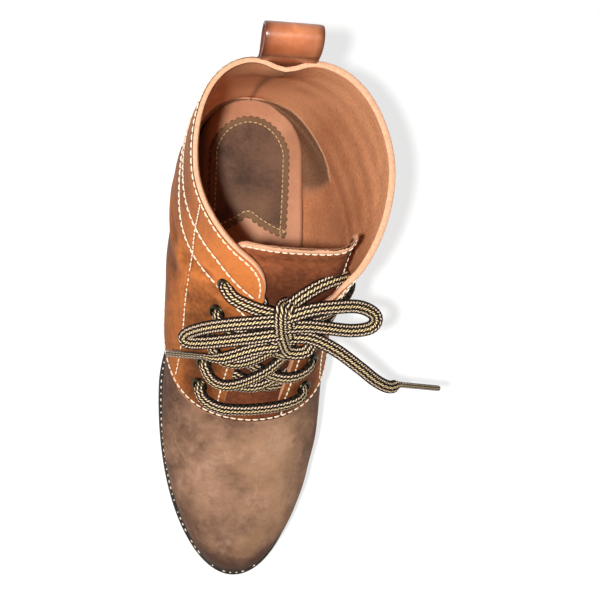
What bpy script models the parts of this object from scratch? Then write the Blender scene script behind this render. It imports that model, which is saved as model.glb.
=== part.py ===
"""A left lace-up ankle boot as an assembly of the pieces a maker joins.

Sizes and places are in millimetres; make_mesh turns them into metres.
The toe points to -Y, the outer side of the foot to +X, and the sole stands on z = 0.
The upper, the tongue and everything on them read one surface, last_point(row, v): row runs
from the toe (0) over the instep to the collar (17), and v runs across from the inner (-1)
over the front ridge (0) to the outer side (+1).
"""

import math
from collections import namedtuple

import bmesh
import bpy
import numpy as np
from mathutils import Matrix, Vector

GAP = 0.3
UPPER_GAP = 0.5  # under the edge of the upper, which follows the arch in straight steps
MIDDLE_X = -6.4  # brings the middle of the whole width, collar included, to x = 0

# Sole
TOE_END, HEEL_END = -136.0, 136.0
BALL_Y, BALL_MEDIAL, BALL_LATERAL = -30.0, 44.9, 45.4
HEEL_Y, HEEL_HALF = 101.0, 35.0
SPRING_Y, TOE_SPRING = -78.0, 10.0
ARCH_Y, ARCH_END, HEEL_HEIGHT = -30.0, 90.0, 29.0
BREAST_Y = 76.0
OUTSOLE_THICK, WELT_THICK = 5.5, 3.0
WELT_SHOWS = 2.4  # how far the welt stands out from the foot of the upper
WELT_INNER = 5.3
HEEL_TAPER = 2.5
TREAD_DEEP, TREAD_WIDE, TREAD_RIM = 1.6, 3.2, 8.0
TREAD_FOREFOOT = (-76.0, -67.0, -58.0, -49.0, -40.0, -31.0)
TREAD_HEEL = (91.0, 102.0, 113.0)

# Half widths of the sole between ball and heel
Waist = namedtuple("Waist", "y medial lateral")
WAIST = (
    Waist(BALL_Y, BALL_MEDIAL, BALL_LATERAL),
    Waist(36.0, 32.5, 37.5),
    Waist(HEEL_Y, HEEL_HALF, HEEL_HALF),
)

# Sections of the upper from toe to collar. Each one is a slice from a point on the front
# ridge to a point under the foot or on the back seam. medial and lateral are the greatest
# half widths, widest is where they lie between front and back, crown shapes the arch above.
Section = namedtuple(
    "Section",
    "front_x front_y front_z back_x back_y back_z medial lateral widest crown",
)
SECTIONS = (
    Section(0.3, -133.6, 17.9, 0.0, -133.6, 17.9, 0.0, 0.0, 0.75, 0.85),
    Section(0.3, -130.5, 29.0, 0.0, -132.2, 17.6, 7.6, 7.6, 0.75, 0.85),
    Section(0.3, -124.5, 37.5, 0.0, -127.6, 16.3, 15.0, 15.0, 0.75, 0.85),
    Section(0.2, -114.5, 43.5, 0.0, -118.0, 13.9, 23.2, 23.2, 0.74, 0.86),
    Section(0.0, -100.0, 48.0, 0.0, -103.0, 11.0, 31.0, 31.4, 0.72, 0.88),
    Section(-0.4, -83.0, 52.0, 0.0, -84.0, 9.2, 37.4, 37.9, 0.69, 0.92),
    Section(-0.6, -66.0, 57.5, 0.0, -62.0, 9.1, 41.8, 42.0, 0.65, 0.96),
    Section(0.0, -50.0, 64.5, 0.0, -40.0, 9.1, 43.4, 43.6, 0.60, 1.00),
    Section(1.5, -36.0, 75.0, 0.0, 0.0, 11.0, 44.0, 42.9, 0.55, 1.00),
    Section(3.0, -23.0, 87.0, 0.0, 45.0, 27.0, 45.6, 42.2, 0.50, 1.00),
    Section(5.0, -11.0, 99.5, 0.0, 88.0, 38.4, 46.8, 42.0, 0.45, 1.00),
    Section(7.0, -2.0, 110.0, 0.0, 117.0, 38.4, 47.4, 42.0, 0.42, 1.00),
    Section(8.0, 4.5, 118.0, 0.0, 133.6, 38.4, 47.2, 42.0, 0.41, 1.00),
    Section(9.0, 8.5, 123.5, 0.3, 134.0, 49.0, 47.2, 42.4, 0.41, 1.00),
    Section(10.0, 12.5, 129.0, 1.0, 133.4, 70.0, 47.0, 43.2, 0.42, 1.00),
    Section(11.0, 16.5, 135.5, 2.0, 129.5, 97.0, 46.6, 45.2, 0.44, 1.00),
    Section(11.7, 19.7, 141.5, 3.0, 124.7, 122.0, 46.2, 47.6, 0.46, 1.00),
    Section(12.2, 22.0, 147.5, 4.0, 122.0, 147.0, 46.0, 49.2, 0.47, 1.00),
    Section(12.6, 24.5, 160.0, 5.0, 120.5, 165.0, 45.8, 50.5, 0.47, 1.00),
)
COLUMN = {name: np.array([getattr(r, name) for r in SECTIONS]) for name in Section._fields}
ROW_HEEL = 12.0  # from here up the two sides meet in the back seam
ROW_COLLAR = 17.0

# Upper
WALL_IN = 1.8  # the inside lies this far under the vamp's face
QUARTER_STEP = 1.2  # the quarters lie this much over the vamp
SEAM_ROW, SEAM_SWEEP, SEAM_ENDS = 7.0, 2.2, 0.85
THROAT_ROW = 7.9
THROAT_LOW = 14.0  # half width of the opening between the facings at its foot
THROAT_HIGH_MEDIAL, THROAT_HIGH_LATERAL = 9.0, 27.0
CORNER_ROWS, CORNER_WIDE = 1.7, 0.075  # the rounded corner between facing and collar
CORNER_ROWS_MEDIAL, CORNER_WIDE_MEDIAL = 2.9, 0.1
COLLAR_FALL, COLLAR_FALL_FROM, FALL_BEND = 2.3, 0.62, 1.5  # the collar falls to its front corners
COLLAR_FALL_MEDIAL, FALL_FROM_MEDIAL, FALL_BEND_MEDIAL = 1.1, 0.55, 3.0
LATERAL_SQUARE = 0.58  # the outer front of the shaft is spread and squarer than the inner
BACK_SQUARE = 0.36  # and the back of the collar is squarer than an oval
DENT_DEEP, DENT_WIDE = 5.0, 10.0  # the back of the collar is drawn in at its seam

# Eyelets
EYELET_ROWS = (8.05, 8.8, 9.65, 10.75, 12.7)
EYELET_LOW = 27.0  # from the middle of the throat
EYELET_HIGH_MEDIAL, EYELET_HIGH_LATERAL = 26.0, 40.0
EYELET_HOLE = 3.2
EYELET_PROFILE = (
    (2.55, 1.0), (3.3, 1.2), (4.2, 0.95), (4.5, 0.5), (2.85, 0.5), (2.85, -2.4), (2.35, -2.4),
)

# Tongue
TONGUE_UNDER, TONGUE_THICK = 0.8, 2.2
TONGUE_ROWS = (7.3, 17.4)
TONGUE_FALL_MEDIAL, TONGUE_FALL_LATERAL = 1.7, -0.3  # rows that its top falls to the corners
TONGUE_LEANS, TONGUE_LEANS_LATERAL, TONGUE_LEANS_FROM = 4.0, 10.5, 13.0  # its free top leans in
TONGUE_FOOT_HALF, TONGUE_LOW_HALF = 14.0, 23.0
TONGUE_HIGH_MEDIAL, TONGUE_HIGH_LATERAL = 31.0, 34.0

# Insole and heel pad
INSOLE_INSET, INSOLE_OVER = 5.8, 3.0
PAD_THICK = 0.9
PAD_FRONT, PAD_BACK, PAD_HALF, PAD_NOTCH = 54.0, 122.0, 22.5, 10.5

# Pull loop: the middle of its strap, up the back of the collar, over and down again
LOOP_WIDE, LOOP_THICK = 28.0, 2.0
LOOP_X = 5.2
Strap = namedtuple("Strap", "y z")
STRAP = (
    Strap(126.4, 118.0),
    Strap(123.9, 128.0),
    Strap(122.3, 138.0),
    Strap(121.5, 146.0),
    Strap(121.8, 153.0),
    Strap(122.7, 159.5),
    Strap(125.1, 164.4),
    Strap(128.8, 166.0),
    Strap(132.4, 164.2),
    Strap(134.2, 159.5),
    Strap(132.6, 154.0),
    Strap(128.4, 149.4),
    Strap(124.3, 144.5),
    Strap(124.75, 138.0),
    Strap(126.35, 128.0),
    Strap(128.85, 118.0),
)

# Lace
LACE = 4.8
LACE_STEP, CROSSING_STEP = 6.0, 7.0  # between the points of a cord
OVER_EYELET, OVER_FACING, OVER_TONGUE = 5.4, 4.7, 2.6  # lifts of the lace's middle
TURN_ROWS, TURN_OFF = 0.22, 3.5  # the lace's turn over each eyelet
BAR_ROW = 7.45  # the lowest bar hangs this far forward
AGLET = 3.2
KNOT = ((6.6, 5.0, 135.6), (6.4, 2.6, 134.6), (7.2, -3.1, 129.3), (9.0, -8.1, 121.5), (12.9, -13.6, 110.8))
LOOP_MEDIAL = (
    (4.5, -1.6, 129.3), (-5.3, -2.2, 126.4), (-16.7, -2.6, 118.3), (-27.1, -3.6, 107.1),
    (-34.3, -5.7, 94.6), (-36.3, -8.5, 90.0), (-34.0, -11.2, 91.5), (-26.5, -11.9, 99.4),
    (-15.3, -11.0, 108.8), (-3.6, -9.5, 117.7), (6.1, -7.7, 121.9),
)
LOOP_LATERAL = (
    (10.3, 0.2, 131.5), (21.3, 5.6, 133.6), (33.5, 10.5, 131.4), (45.6, 11.1, 126.0),
    (54.0, 6.9, 120.8), (56.8, 2.0, 117.2), (53.8, -3.2, 115.7), (44.5, -5.6, 117.0),
    (31.6, -4.7, 121.0), (21.4, -3.9, 124.0), (11.3, -4.1, 125.8),
)
END_MEDIAL = (
    (9.0, -12.4, 113.1), (0.6, -13.6, 110.6), (-7.2, -15.6, 107.2), (-15.8, -18.4, 102.0),
    (-21.8, -18.9, 98.2), (-25.9, -18.0, 95.6),
)
END_LATERAL = (
    (13.2, -8.3, 118.9), (24.1, -8.6, 118.2), (37.4, -13.5, 113.0), (51.9, -21.6, 104.0),
    (62.5, -27.6, 95.4), (71.0, -30.3, 88.6), (77.2, -28.9, 84.2),
)
AGLET_MEDIAL = ((-26.8, -17.9, 95.1), (-44.6, -16.2, 84.4))
AGLET_LATERAL = ((78.3, -28.8, 83.7), (100.9, -30.0, 79.4))

PARTS = "lace_up_ankle_boot"
CUTTERS = "cutters"


def clear_scene():
    for o in list(bpy.data.objects):
        bpy.data.objects.remove(o)
    for name in (PARTS, CUTTERS):
        made = bpy.data.collections.new(name)
        bpy.context.scene.collection.children.link(made)


def material(name, colour, rough, metal=0.0):
    m = bpy.data.materials.new(name)
    m.use_nodes = True
    shader = m.node_tree.nodes["Principled BSDF"]
    shader.inputs["Base Color"].default_value = (*colour, 1.0)
    shader.inputs["Roughness"].default_value = rough
    shader.inputs["Metallic"].default_value = metal
    return m


def make_mesh(name, points, faces):
    """A mesh from points in millimetres."""
    mesh = bpy.data.meshes.new(name)
    shift = np.array([MIDDLE_X, 0.0, 0.0])
    mesh.from_pydata([tuple(p) for p in (np.asarray(points) + shift) * 0.001], [], faces)
    edit = bmesh.new()
    edit.from_mesh(mesh)
    bmesh.ops.recalc_face_normals(edit, faces=edit.faces)
    edit.to_mesh(mesh)
    edit.free()
    return mesh


def add_part(name, mesh, look, smooth=True):
    o = bpy.data.objects.new(name, mesh)
    bpy.data.collections[PARTS].objects.link(o)
    mesh.materials.append(look)
    if smooth:
        mesh.shade_smooth()
    return o


def add_cutter(name, points, faces):
    o = bpy.data.objects.new(name, make_mesh(name, points, faces))
    bpy.data.collections[CUTTERS].objects.link(o)
    o.hide_render = True
    o.display_type = "WIRE"
    return o


def combine(target, other, operation):
    mod = target.modifiers.new(operation.lower() + "_" + other.name, "BOOLEAN")
    mod.operation = operation
    mod.solver = "EXACT"
    mod.object = other


def ease(u):
    u = np.clip(u, 0.0, 1.0)
    return u * u * (3.0 - 2.0 * u)


# The sole's outline and heights


def half_width(y, side, inset):
    """Half width of the sole at y, on the inner (-1) or outer (+1) side, inset all round."""
    y = np.asarray(y, float)
    toe = (BALL_Y - y) / (BALL_Y - TOE_END - inset)
    heel = (y - HEEL_Y) / (HEEL_END - HEEL_Y - inset)
    ball = np.where(np.asarray(side) < 0, BALL_MEDIAL, BALL_LATERAL)
    toe_part = (ball - inset) * np.sqrt(np.clip(1.0 - toe**2, 0.0, 1.0))
    heel_part = (HEEL_HALF - inset) * np.sqrt(np.clip(1.0 - heel**2, 0.0, 1.0))
    between = np.zeros_like(y)
    for a, b in zip(WAIST[:-1], WAIST[1:]):
        u = ease((y - a.y) / (b.y - a.y))
        low = np.where(np.asarray(side) < 0, a.medial, a.lateral)
        high = np.where(np.asarray(side) < 0, b.medial, b.lateral)
        between = np.where((y >= a.y) & (y <= b.y), low + (high - low) * u - inset, between)
    return np.where(y < BALL_Y, toe_part, np.where(y > HEEL_Y, heel_part, between))


def ground(y):
    """Underside of the outsole: toe spring, flat forefoot, arch, heel seat."""
    y = np.asarray(y, float)
    spring = TOE_SPRING * (np.clip(SPRING_Y - y, 0.0, None) / (SPRING_Y - TOE_END)) ** 2
    return spring + HEEL_HEIGHT * ease((y - ARCH_Y) / (ARCH_END - ARCH_Y))


def outsole_top(y):
    return ground(y) + OUTSOLE_THICK


def feather(y):
    """Where the upper meets the welt."""
    return outsole_top(y) + GAP + WELT_THICK + UPPER_GAP


# The upper's surface


def smooth_column(name, row):
    """A section column at fractional rows, on a smooth curve through the table."""
    table = COLUMN[name]
    last = len(table) - 1
    i = np.clip(np.floor(row).astype(int), 0, last - 1)
    u = row - i
    p1, p2 = table[i], table[i + 1]
    p0 = np.where(i > 0, table[np.maximum(i - 1, 0)], 2.0 * p1 - p2)
    p3 = np.where(i < last - 1, table[np.minimum(i + 2, last)], 2.0 * p2 - p1)
    bend = 3.0 * (p1 - p2) + p3 - p0
    return p1 + 0.5 * u * (p2 - p0 + u * (2.0 * p0 - 5.0 * p1 + 4.0 * p2 - p3 + u * bend))


def crown_at(row, side):
    square = LATERAL_SQUARE * ease((row - 9.0) / 4.5)
    return smooth_column("crown", row) - np.where(side > 0, square, 0.0)


def last_point(row, v):
    """Face of the vamp at section row and share v, as an array of points."""
    row, v = np.broadcast_arrays(np.asarray(row, float), np.asarray(v, float))
    c = {name: smooth_column(name, row) for name in Section._fields}
    a = np.abs(v)
    side = np.where(v < 0.0, -1.0, 1.0)
    low = np.where(row < ROW_HEEL, half_width(c["back_y"], side, WELT_SHOWS), 0.0)
    back_z = np.where(row < ROW_HEEL, feather(c["back_y"]), c["back_z"])
    wide = np.where(v < 0.0, c["medial"], c["lateral"])
    wide = np.maximum(wide, np.where(row < 7.0, low + 0.3, wide))
    upper_arch = a <= 0.5
    angle = math.pi * np.where(upper_arch, a, a - 0.5)
    arch = np.sin(np.clip(angle, 0.0, math.pi / 2)) ** crown_at(row, side)
    power = 2.0 - 2.0 * BACK_SQUARE * ease((row - 13.0) / 3.5)
    wall = np.sqrt(low**2 + (wide**2 - low**2) * np.cos(np.clip(angle, 0.0, math.pi / 2)) ** power)
    across = np.where(upper_arch, wide * arch, wall)
    down_arch = c["widest"] * (1.0 - np.cos(angle))
    down_wall = c["widest"] + (1.0 - c["widest"]) * np.sin(angle)
    t = np.where(upper_arch, down_arch, down_wall)
    x = c["front_x"] + t * (c["back_x"] - c["front_x"]) + side * across
    y = c["front_y"] + t * (c["back_y"] - c["front_y"])
    z = c["front_z"] + t * (back_z - c["front_z"])
    drawn = ease((row - 15.0) / 2.0) * np.where(a > 0.6, 1.0, 0.0)
    y = y - DENT_DEEP * drawn * np.exp(-(((x - c["back_x"]) / DENT_WIDE) ** 2))
    return np.stack([x, y, z], axis=-1)


def last_normal(row, v):
    """Outward direction of the surface."""
    row, v = np.broadcast_arrays(np.asarray(row, float), np.asarray(v, float))
    step = 0.004
    row_a, row_b = np.clip(row - step, 0.02, 18.0), np.clip(row + step, 0.03, 18.0)
    v_a, v_b = np.clip(v - step, -1.0, 1.0), np.clip(v + step, -1.0, 1.0)
    along = last_point(row_b, v) - last_point(row_a, v)
    across = last_point(np.maximum(row, 0.03), v_b) - last_point(np.maximum(row, 0.03), v_a)
    n = np.cross(across, along)
    n /= np.maximum(np.linalg.norm(n, axis=-1, keepdims=True), 1e-9)
    seam = (np.abs(v) > 1.0 - step) & (row >= ROW_HEEL)
    n = np.where(seam[..., None], np.stack([0 * row, n[..., 1], n[..., 2]], axis=-1), n)
    level = np.where(row < ROW_HEEL, 1.0 - ease((np.abs(v) - 0.88) / 0.12), 1.0)
    n = n * np.stack([np.ones_like(level), np.ones_like(level), level], axis=-1)
    tip = row < 0.02
    n = np.where(tip[..., None], np.array([0.0, -0.95, 0.3]), n)
    return n / np.maximum(np.linalg.norm(n, axis=-1, keepdims=True), 1e-9)


def on_upper(row, v, lift):
    return last_point(row, v) + np.asarray(lift, float)[..., None] * last_normal(row, v)


def share_at(row, off, side):
    """The v at which the surface is off millimetres beside the front ridge."""
    name = "medial" if side < 0 else "lateral"
    wide = smooth_column(name, np.asarray(row, float))
    crown = crown_at(np.asarray(row, float), side)
    return side * np.arcsin(np.clip(off / wide, 0.0, 1.0) ** (1.0 / crown)) / math.pi


def throat_half(row, side):
    high = THROAT_HIGH_MEDIAL if side < 0 else THROAT_HIGH_LATERAL
    u = (np.asarray(row, float) - THROAT_ROW) / (15.0 - THROAT_ROW)
    return THROAT_LOW + (high - THROAT_LOW) * np.clip(u, 0.0, 1.0)


def seam_row(v):
    """Front edge of the quarters, from the throat down and back to the welt."""
    return SEAM_ROW + SEAM_SWEEP * ease(np.abs(v) / SEAM_ENDS)


def collar_row(v):
    """Top edge of the quarters, falling to the front and rounded into the facings."""
    a = np.abs(v)
    left, right = (abs(share_at(14.0, throat_half(14.0, side), side)) for side in (-1, 1))
    edge = np.where(v < 0, left, right)
    inner = np.asarray(v) < 0
    wide = np.where(inner, CORNER_WIDE_MEDIAL, CORNER_WIDE)
    near = np.clip((edge + wide - a) / wide, 0.0, 1.0)
    corner = np.where(inner, CORNER_ROWS_MEDIAL, CORNER_ROWS) * (1.0 - np.sqrt(1.0 - near**2))
    begin = np.where(inner, FALL_FROM_MEDIAL, COLLAR_FALL_FROM)
    fall = ease((begin - a) / (begin - edge)) ** np.where(inner, FALL_BEND_MEDIAL, FALL_BEND)
    return ROW_COLLAR - corner - np.where(inner, COLLAR_FALL_MEDIAL, COLLAR_FALL) * fall


# Pieces


def shell(outer, inner, open_face, index):
    """Points and faces of a wall between two grids. open_face(i, j) leaves a face out, and
    index(i, j) names the point that grid place shares."""
    names = {}
    points = []
    for i in range(outer.shape[0]):
        for j in range(outer.shape[1]):
            key = index(i, j)
            if key not in names:
                names[key] = len(points)
                points.append((outer[key], inner[key]))
    faces = []
    edges = {}
    for i in range(outer.shape[0] - 1):
        for j in range(outer.shape[1] - 1):
            if open_face(i, j):
                continue
            ring = [names[index(*k)] for k in ((i, j), (i + 1, j), (i + 1, j + 1), (i, j + 1))]
            ring = [k for n, k in enumerate(ring) if k != ring[n - 1]]
            faces.append([2 * k for k in ring])
            faces.append([2 * k + 1 for k in reversed(ring)])
            for n, k in enumerate(ring):
                pair = (ring[n - 1], k)
                if pair[::-1] in edges:
                    del edges[pair[::-1]]
                else:
                    edges[pair] = True
    for a, b in edges:
        faces.append([2 * b, 2 * a, 2 * a + 1, 2 * b + 1])
    flat = [p for pair in points for p in pair]
    used = sorted({k for f in faces for k in f})
    place = {k: n for n, k in enumerate(used)}
    return [flat[k] for k in used], [[place[k] for k in f] for f in faces]


def upper_grid():
    """Rows, shares and lifts of the upper's grid, with the columns where things change."""
    toe = np.array([0.0, 0.35, 0.8, 1.4, 2.1, 3.0, 3.9, 4.7, 5.4, 6.0, 6.4, 6.75])
    foot = (THROAT_ROW - SEAM_ROW) / (ROW_COLLAR - SEAM_ROW)
    quarter = np.concatenate([[0.0, 0.0, foot / 2.0], np.linspace(foot, 1.0, 17)])
    middle = np.concatenate([toe, SEAM_ROW + (ROW_COLLAR - SEAM_ROW) * quarter])
    side_share = np.linspace(0.0, 1.0, 13) ** 1.3
    gap_share = np.array([-0.5, 0.0, 0.5])
    rows, shares, lifts = [], [], []
    for i, row in enumerate(middle):
        at = max(row, THROAT_ROW)
        left = share_at(at, throat_half(at, -1), -1)
        right = share_at(at, throat_half(at, 1), 1)
        v = np.concatenate(
            [
                left - (left + 1.0) * side_share[::-1],
                np.where(gap_share < 0, -left, right) * gap_share,
                right + (1.0 - right) * side_share,
            ]
        )
        seam = seam_row(v)
        if i < len(toe):
            r = row * np.where(row > 3.0, 1.0 + (seam / SEAM_ROW - 1.0) * (row - 3.0) / 4.0, 1.0)
        else:
            r = seam + (collar_row(v) - seam) * quarter[i - len(toe)]
        rows.append(r)
        shares.append(v)
        lifts.append(np.full(len(v), 0.0 if i <= len(toe) else QUARTER_STEP))
    return np.array(rows), np.array(shares), np.array(lifts), len(toe), len(side_share)


def build_upper(look):
    rows, shares, lifts, seam, side = upper_grid()
    step_back = np.zeros_like(rows)
    step_back[seam + 1] = 0.03
    rows = rows + step_back
    outer = on_upper(rows, shares, lifts)
    inner = on_upper(rows, shares, np.full(rows.shape, -WALL_IN))
    outer[0, :] = outer[0, 0]
    inner[0, :] = inner[0, 0]
    inner[seam] = on_upper(rows[seam] - 0.02, shares[seam], np.full(rows[seam].shape, -WALL_IN))
    closed = (rows[:, 0] >= ROW_HEEL - 0.001) & (rows[:, -1] >= ROW_HEEL - 0.001)
    last = rows.shape[1] - 1

    def open_face(i, j):
        return i >= seam + 3 and side - 1 <= j < side + 3

    def index(i, j):
        if i == 0:
            return (0, 0)
        if closed[i] and j == last:
            return (i, 0)
        return (i, j)

    points, faces = shell(outer, inner, open_face, index)
    upper = add_part("upper", make_mesh("upper", points, faces), look)
    for k, row in enumerate(EYELET_ROWS):
        for side_name, sign in (("medial", -1), ("lateral", 1)):
            name = f"hole_{side_name}_{k + 1}"
            combine(upper, eyelet_cutter(name, row, sign), "DIFFERENCE")
    return upper


def eyelet_off(row, sign):
    high = EYELET_HIGH_MEDIAL if sign < 0 else EYELET_HIGH_LATERAL
    share = min(max((row - THROAT_ROW) / (15.0 - THROAT_ROW), 0.0), 1.0)
    return EYELET_LOW + (high - EYELET_LOW) * share


def eyelet_place(row, sign):
    """Centre on the quarter's face, and the direction out of it."""
    v = share_at(row, eyelet_off(row, sign), sign)
    return on_upper(row, v, np.array(QUARTER_STEP)), last_normal(row, v)


def eyelet_cutter(name, row, sign):
    centre, out = eyelet_place(row, sign)
    turn = Vector(out).to_track_quat("Z", "Y").to_matrix()
    points, faces = [], []
    count = 12
    for z in (-6.0, 3.0):
        for k in range(count):
            angle = 2.0 * math.pi * k / count
            local = Vector((EYELET_HOLE * math.cos(angle), EYELET_HOLE * math.sin(angle), z))
            points.append(centre + np.array(turn @ local))
    for k in range(count):
        n = (k + 1) % count
        faces.append([k, n, count + n, count + k])
    faces.append(list(range(count)))
    faces.append(list(range(count, 2 * count)))
    return add_cutter(name, points, faces)


def build_eyelets(look):
    """Turned rings, one Screw profile per hole."""
    profile = [(r * 0.001, 0.0, z * 0.001) for r, z in EYELET_PROFILE]
    edges = [(k, (k + 1) % len(profile)) for k in range(len(profile))]
    for k, row in enumerate(EYELET_ROWS):
        for side_name, sign in (("medial", -1), ("lateral", 1)):
            name = f"eyelet_{side_name}_{k + 1}"
            mesh = bpy.data.meshes.new(name)
            mesh.from_pydata(profile, edges, [])
            o = add_part(name, mesh, look, smooth=False)
            turn = o.modifiers.new("turn", "SCREW")
            turn.steps = 12
            turn.render_steps = 12
            turn.use_merge_vertices = True
            turn.merge_threshold = 0.00001
            turn.use_smooth_shade = True
            centre, out = eyelet_place(row, sign)
            stand = Vector(out).to_track_quat("Z", "Y").to_matrix().to_4x4()
            shift = np.array([MIDDLE_X, 0.0, 0.0])
            o.matrix_world = Matrix.Translation(Vector((centre + shift) * 0.001)) @ stand


def build_tongue(look):
    rows = np.linspace(TONGUE_ROWS[0], TONGUE_ROWS[1], 17)
    share = np.linspace(-1.0, 1.0, 13)
    fall = np.where(share < 0, TONGUE_FALL_MEDIAL, TONGUE_FALL_LATERAL) * np.abs(share) ** 2
    grid_row = rows[:, None] - fall * ease((rows[:, None] - 11.0) / (TONGUE_ROWS[1] - 11.0))
    grid_v = np.empty_like(grid_row)
    for i, row in enumerate(rows):
        half = TONGUE_FOOT_HALF + (TONGUE_LOW_HALF - TONGUE_FOOT_HALF) * ease((row - 6.4) / 1.5)
        high = ease((row - 9.0) / 8.0)
        left = -share_at(row, half + (TONGUE_HIGH_MEDIAL - TONGUE_LOW_HALF) * high, -1)
        right = share_at(row, half + (TONGUE_HIGH_LATERAL - TONGUE_LOW_HALF) * high, 1)
        grid_v[i] = np.where(share < 0, left, right) * share
    free = (TONGUE_ROWS[1] - TONGUE_LEANS_FROM)
    lean = TONGUE_LEANS + (TONGUE_LEANS_LATERAL - TONGUE_LEANS) * np.clip(share, 0.0, 1.0) ** 2
    under = WALL_IN + TONGUE_UNDER + lean * ease((grid_row - TONGUE_LEANS_FROM) / free)
    outer = on_upper(grid_row, grid_v, -under)
    inner = on_upper(grid_row, grid_v, -under - TONGUE_THICK)
    points, faces = shell(outer, inner, lambda i, j: False, lambda i, j: (i, j))
    return add_part("tongue", make_mesh("tongue", points, faces), look)


def outline(inset, count):
    """Points round the sole from the toe tip, outer side first, with y = middle - half cos p."""
    p = 2.0 * math.pi * np.arange(count) / count
    half = (HEEL_END - TOE_END) / 2.0 - inset
    y = (HEEL_END + TOE_END) / 2.0 - half * np.cos(p)
    side = np.where(np.sin(p) >= 0.0, 1.0, -1.0)
    x = side * half_width(y, side, inset)
    x[0] = x[count // 2] = 0.0
    return x, y


def plate(inset, low, high, count):
    """Points and faces of a layer of the sole between two heights that follow y."""
    x, y = outline(inset, count)
    points = np.concatenate([np.stack([x, y, low(y)], 1), np.stack([x, y, high(y)], 1)])
    faces = []
    for k in range(count):
        n = (k + 1) % count
        faces.append([k, n, count + n, count + k])
    half = count // 2
    for start in (0, count):
        faces.append([start, start + 1, start + count - 1])
        faces.append([start + half - 1, start + half, start + half + 1])
        for k in range(1, half - 1):
            faces.append([start + k, start + k + 1, start + count - k - 1, start + count - k])
    return points, faces


def box(low, high):
    points = [(x, y, z) for z in (low[2], high[2]) for y in (low[1], high[1]) for x in (low[0], high[0])]
    faces = [[0, 1, 3, 2], [4, 5, 7, 6], [0, 1, 5, 4], [2, 3, 7, 6], [0, 2, 6, 4], [1, 3, 7, 5]]
    return points, faces


def cut_tread(target, places, inset):
    for y in places:
        left = -(float(half_width(y, -1, inset)) - TREAD_RIM)
        right = float(half_width(y, 1, inset)) - TREAD_RIM
        low = (left, y - TREAD_WIDE / 2.0, -2.0)
        high = (right, y + TREAD_WIDE / 2.0, TREAD_DEEP)
        name = f"tread_{target.name}_{int(y)}"
        combine(target, add_cutter(name, *box(low, high)), "DIFFERENCE")


def build_sole(rubber, edge):
    mesh = make_mesh("outsole", *plate(0.0, ground, outsole_top, 72))
    outsole = add_part("outsole", mesh, rubber, smooth=False)
    cut_tread(outsole, TREAD_FOREFOOT, 0.0)
    count = 84
    points, faces = [], []
    for inset in (0.0, WELT_INNER):
        x, y = outline(inset, count)
        low = outsole_top(y) + GAP
        points.append(np.stack([x, y, low], 1))
        points.append(np.stack([x, y, low + WELT_THICK], 1))
    for k in range(count):
        n = (k + 1) % count
        for a, b in ((0, 1), (1, 3), (3, 2), (2, 0)):
            faces.append([a * count + k, a * count + n, b * count + n, b * count + k])
    add_part("welt", make_mesh("welt", np.concatenate(points), faces), edge, smooth=False)


def build_heel(look):
    """Block under the heel seat, smaller underneath, with a straight front."""
    stations = 12
    u = np.sin(np.linspace(0.0, math.pi / 2, stations))
    rings = []
    for inset, high in ((1.0, True), (1.0 + HEEL_TAPER, False)):
        back = HEEL_END - inset
        front = BREAST_Y + (0.0 if high else 3.0)
        y = front + (back - front) * u
        z = ground(y) - GAP if high else np.zeros_like(y)
        for sign in (1, -1):
            x = sign * half_width(y, sign, inset)
            x[-1] = 0.0
            rings.append(np.stack([x, y, z], 1))
    points = np.concatenate(rings)
    right_top, left_top, right_low, left_low = (k * stations for k in range(4))
    faces = [[right_top, left_top, left_low, right_low]]
    for k in range(stations - 1):
        n = k + 1
        faces.append([right_top + k, right_top + n, left_top + n, left_top + k])
        faces.append([right_low + k, right_low + n, left_low + n, left_low + k])
        faces.append([right_top + k, right_top + n, right_low + n, right_low + k])
        faces.append([left_top + k, left_top + n, left_low + n, left_low + k])
    end = {left_top + stations - 1: right_top + stations - 1}
    end[left_low + stations - 1] = right_low + stations - 1
    tidy = []
    for f in faces:
        f = [end.get(k, k) for k in f]
        tidy.append([k for n, k in enumerate(f) if k != f[n - 1]])
    used = sorted({k for f in tidy for k in f})
    place = {k: n for n, k in enumerate(used)}
    tidy = [[place[k] for k in f] for f in tidy]
    heel = add_part("heel", make_mesh("heel", points[used], tidy), look, smooth=False)
    cut_tread(heel, TREAD_HEEL, 1.0 + HEEL_TAPER)


def insole_top(y):
    return feather(y) + INSOLE_OVER


def build_insole(look, pad_look):
    def low(y):
        return outsole_top(y) + GAP

    add_part("insole", make_mesh("insole", *plate(INSOLE_INSET, low, insole_top, 56)), look, False)
    stations = 16
    u = np.linspace(0.0, 1.0, stations)
    columns = np.linspace(-1.0, 1.0, 9)
    layers = []
    for lift in (GAP, GAP + PAD_THICK):
        grid = np.empty((stations, len(columns), 3))
        for k, c in enumerate(columns):
            front = PAD_FRONT + PAD_NOTCH * (1.0 - abs(c)) ** 1.5
            back = PAD_BACK - (PAD_BACK - 96.0) * (1.0 - math.sqrt(1.0 - 0.96 * c * c))
            y = front + (back - front) * u
            x = np.full_like(y, c * PAD_HALF)
            grid[:, k] = np.stack([x, y, insole_top(y) + lift], 1)
        layers.append(grid)
    points, faces = shell(layers[1], layers[0], lambda i, j: False, lambda i, j: (i, j))
    add_part("heel_pad", make_mesh("heel_pad", points, faces), pad_look, False)


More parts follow.
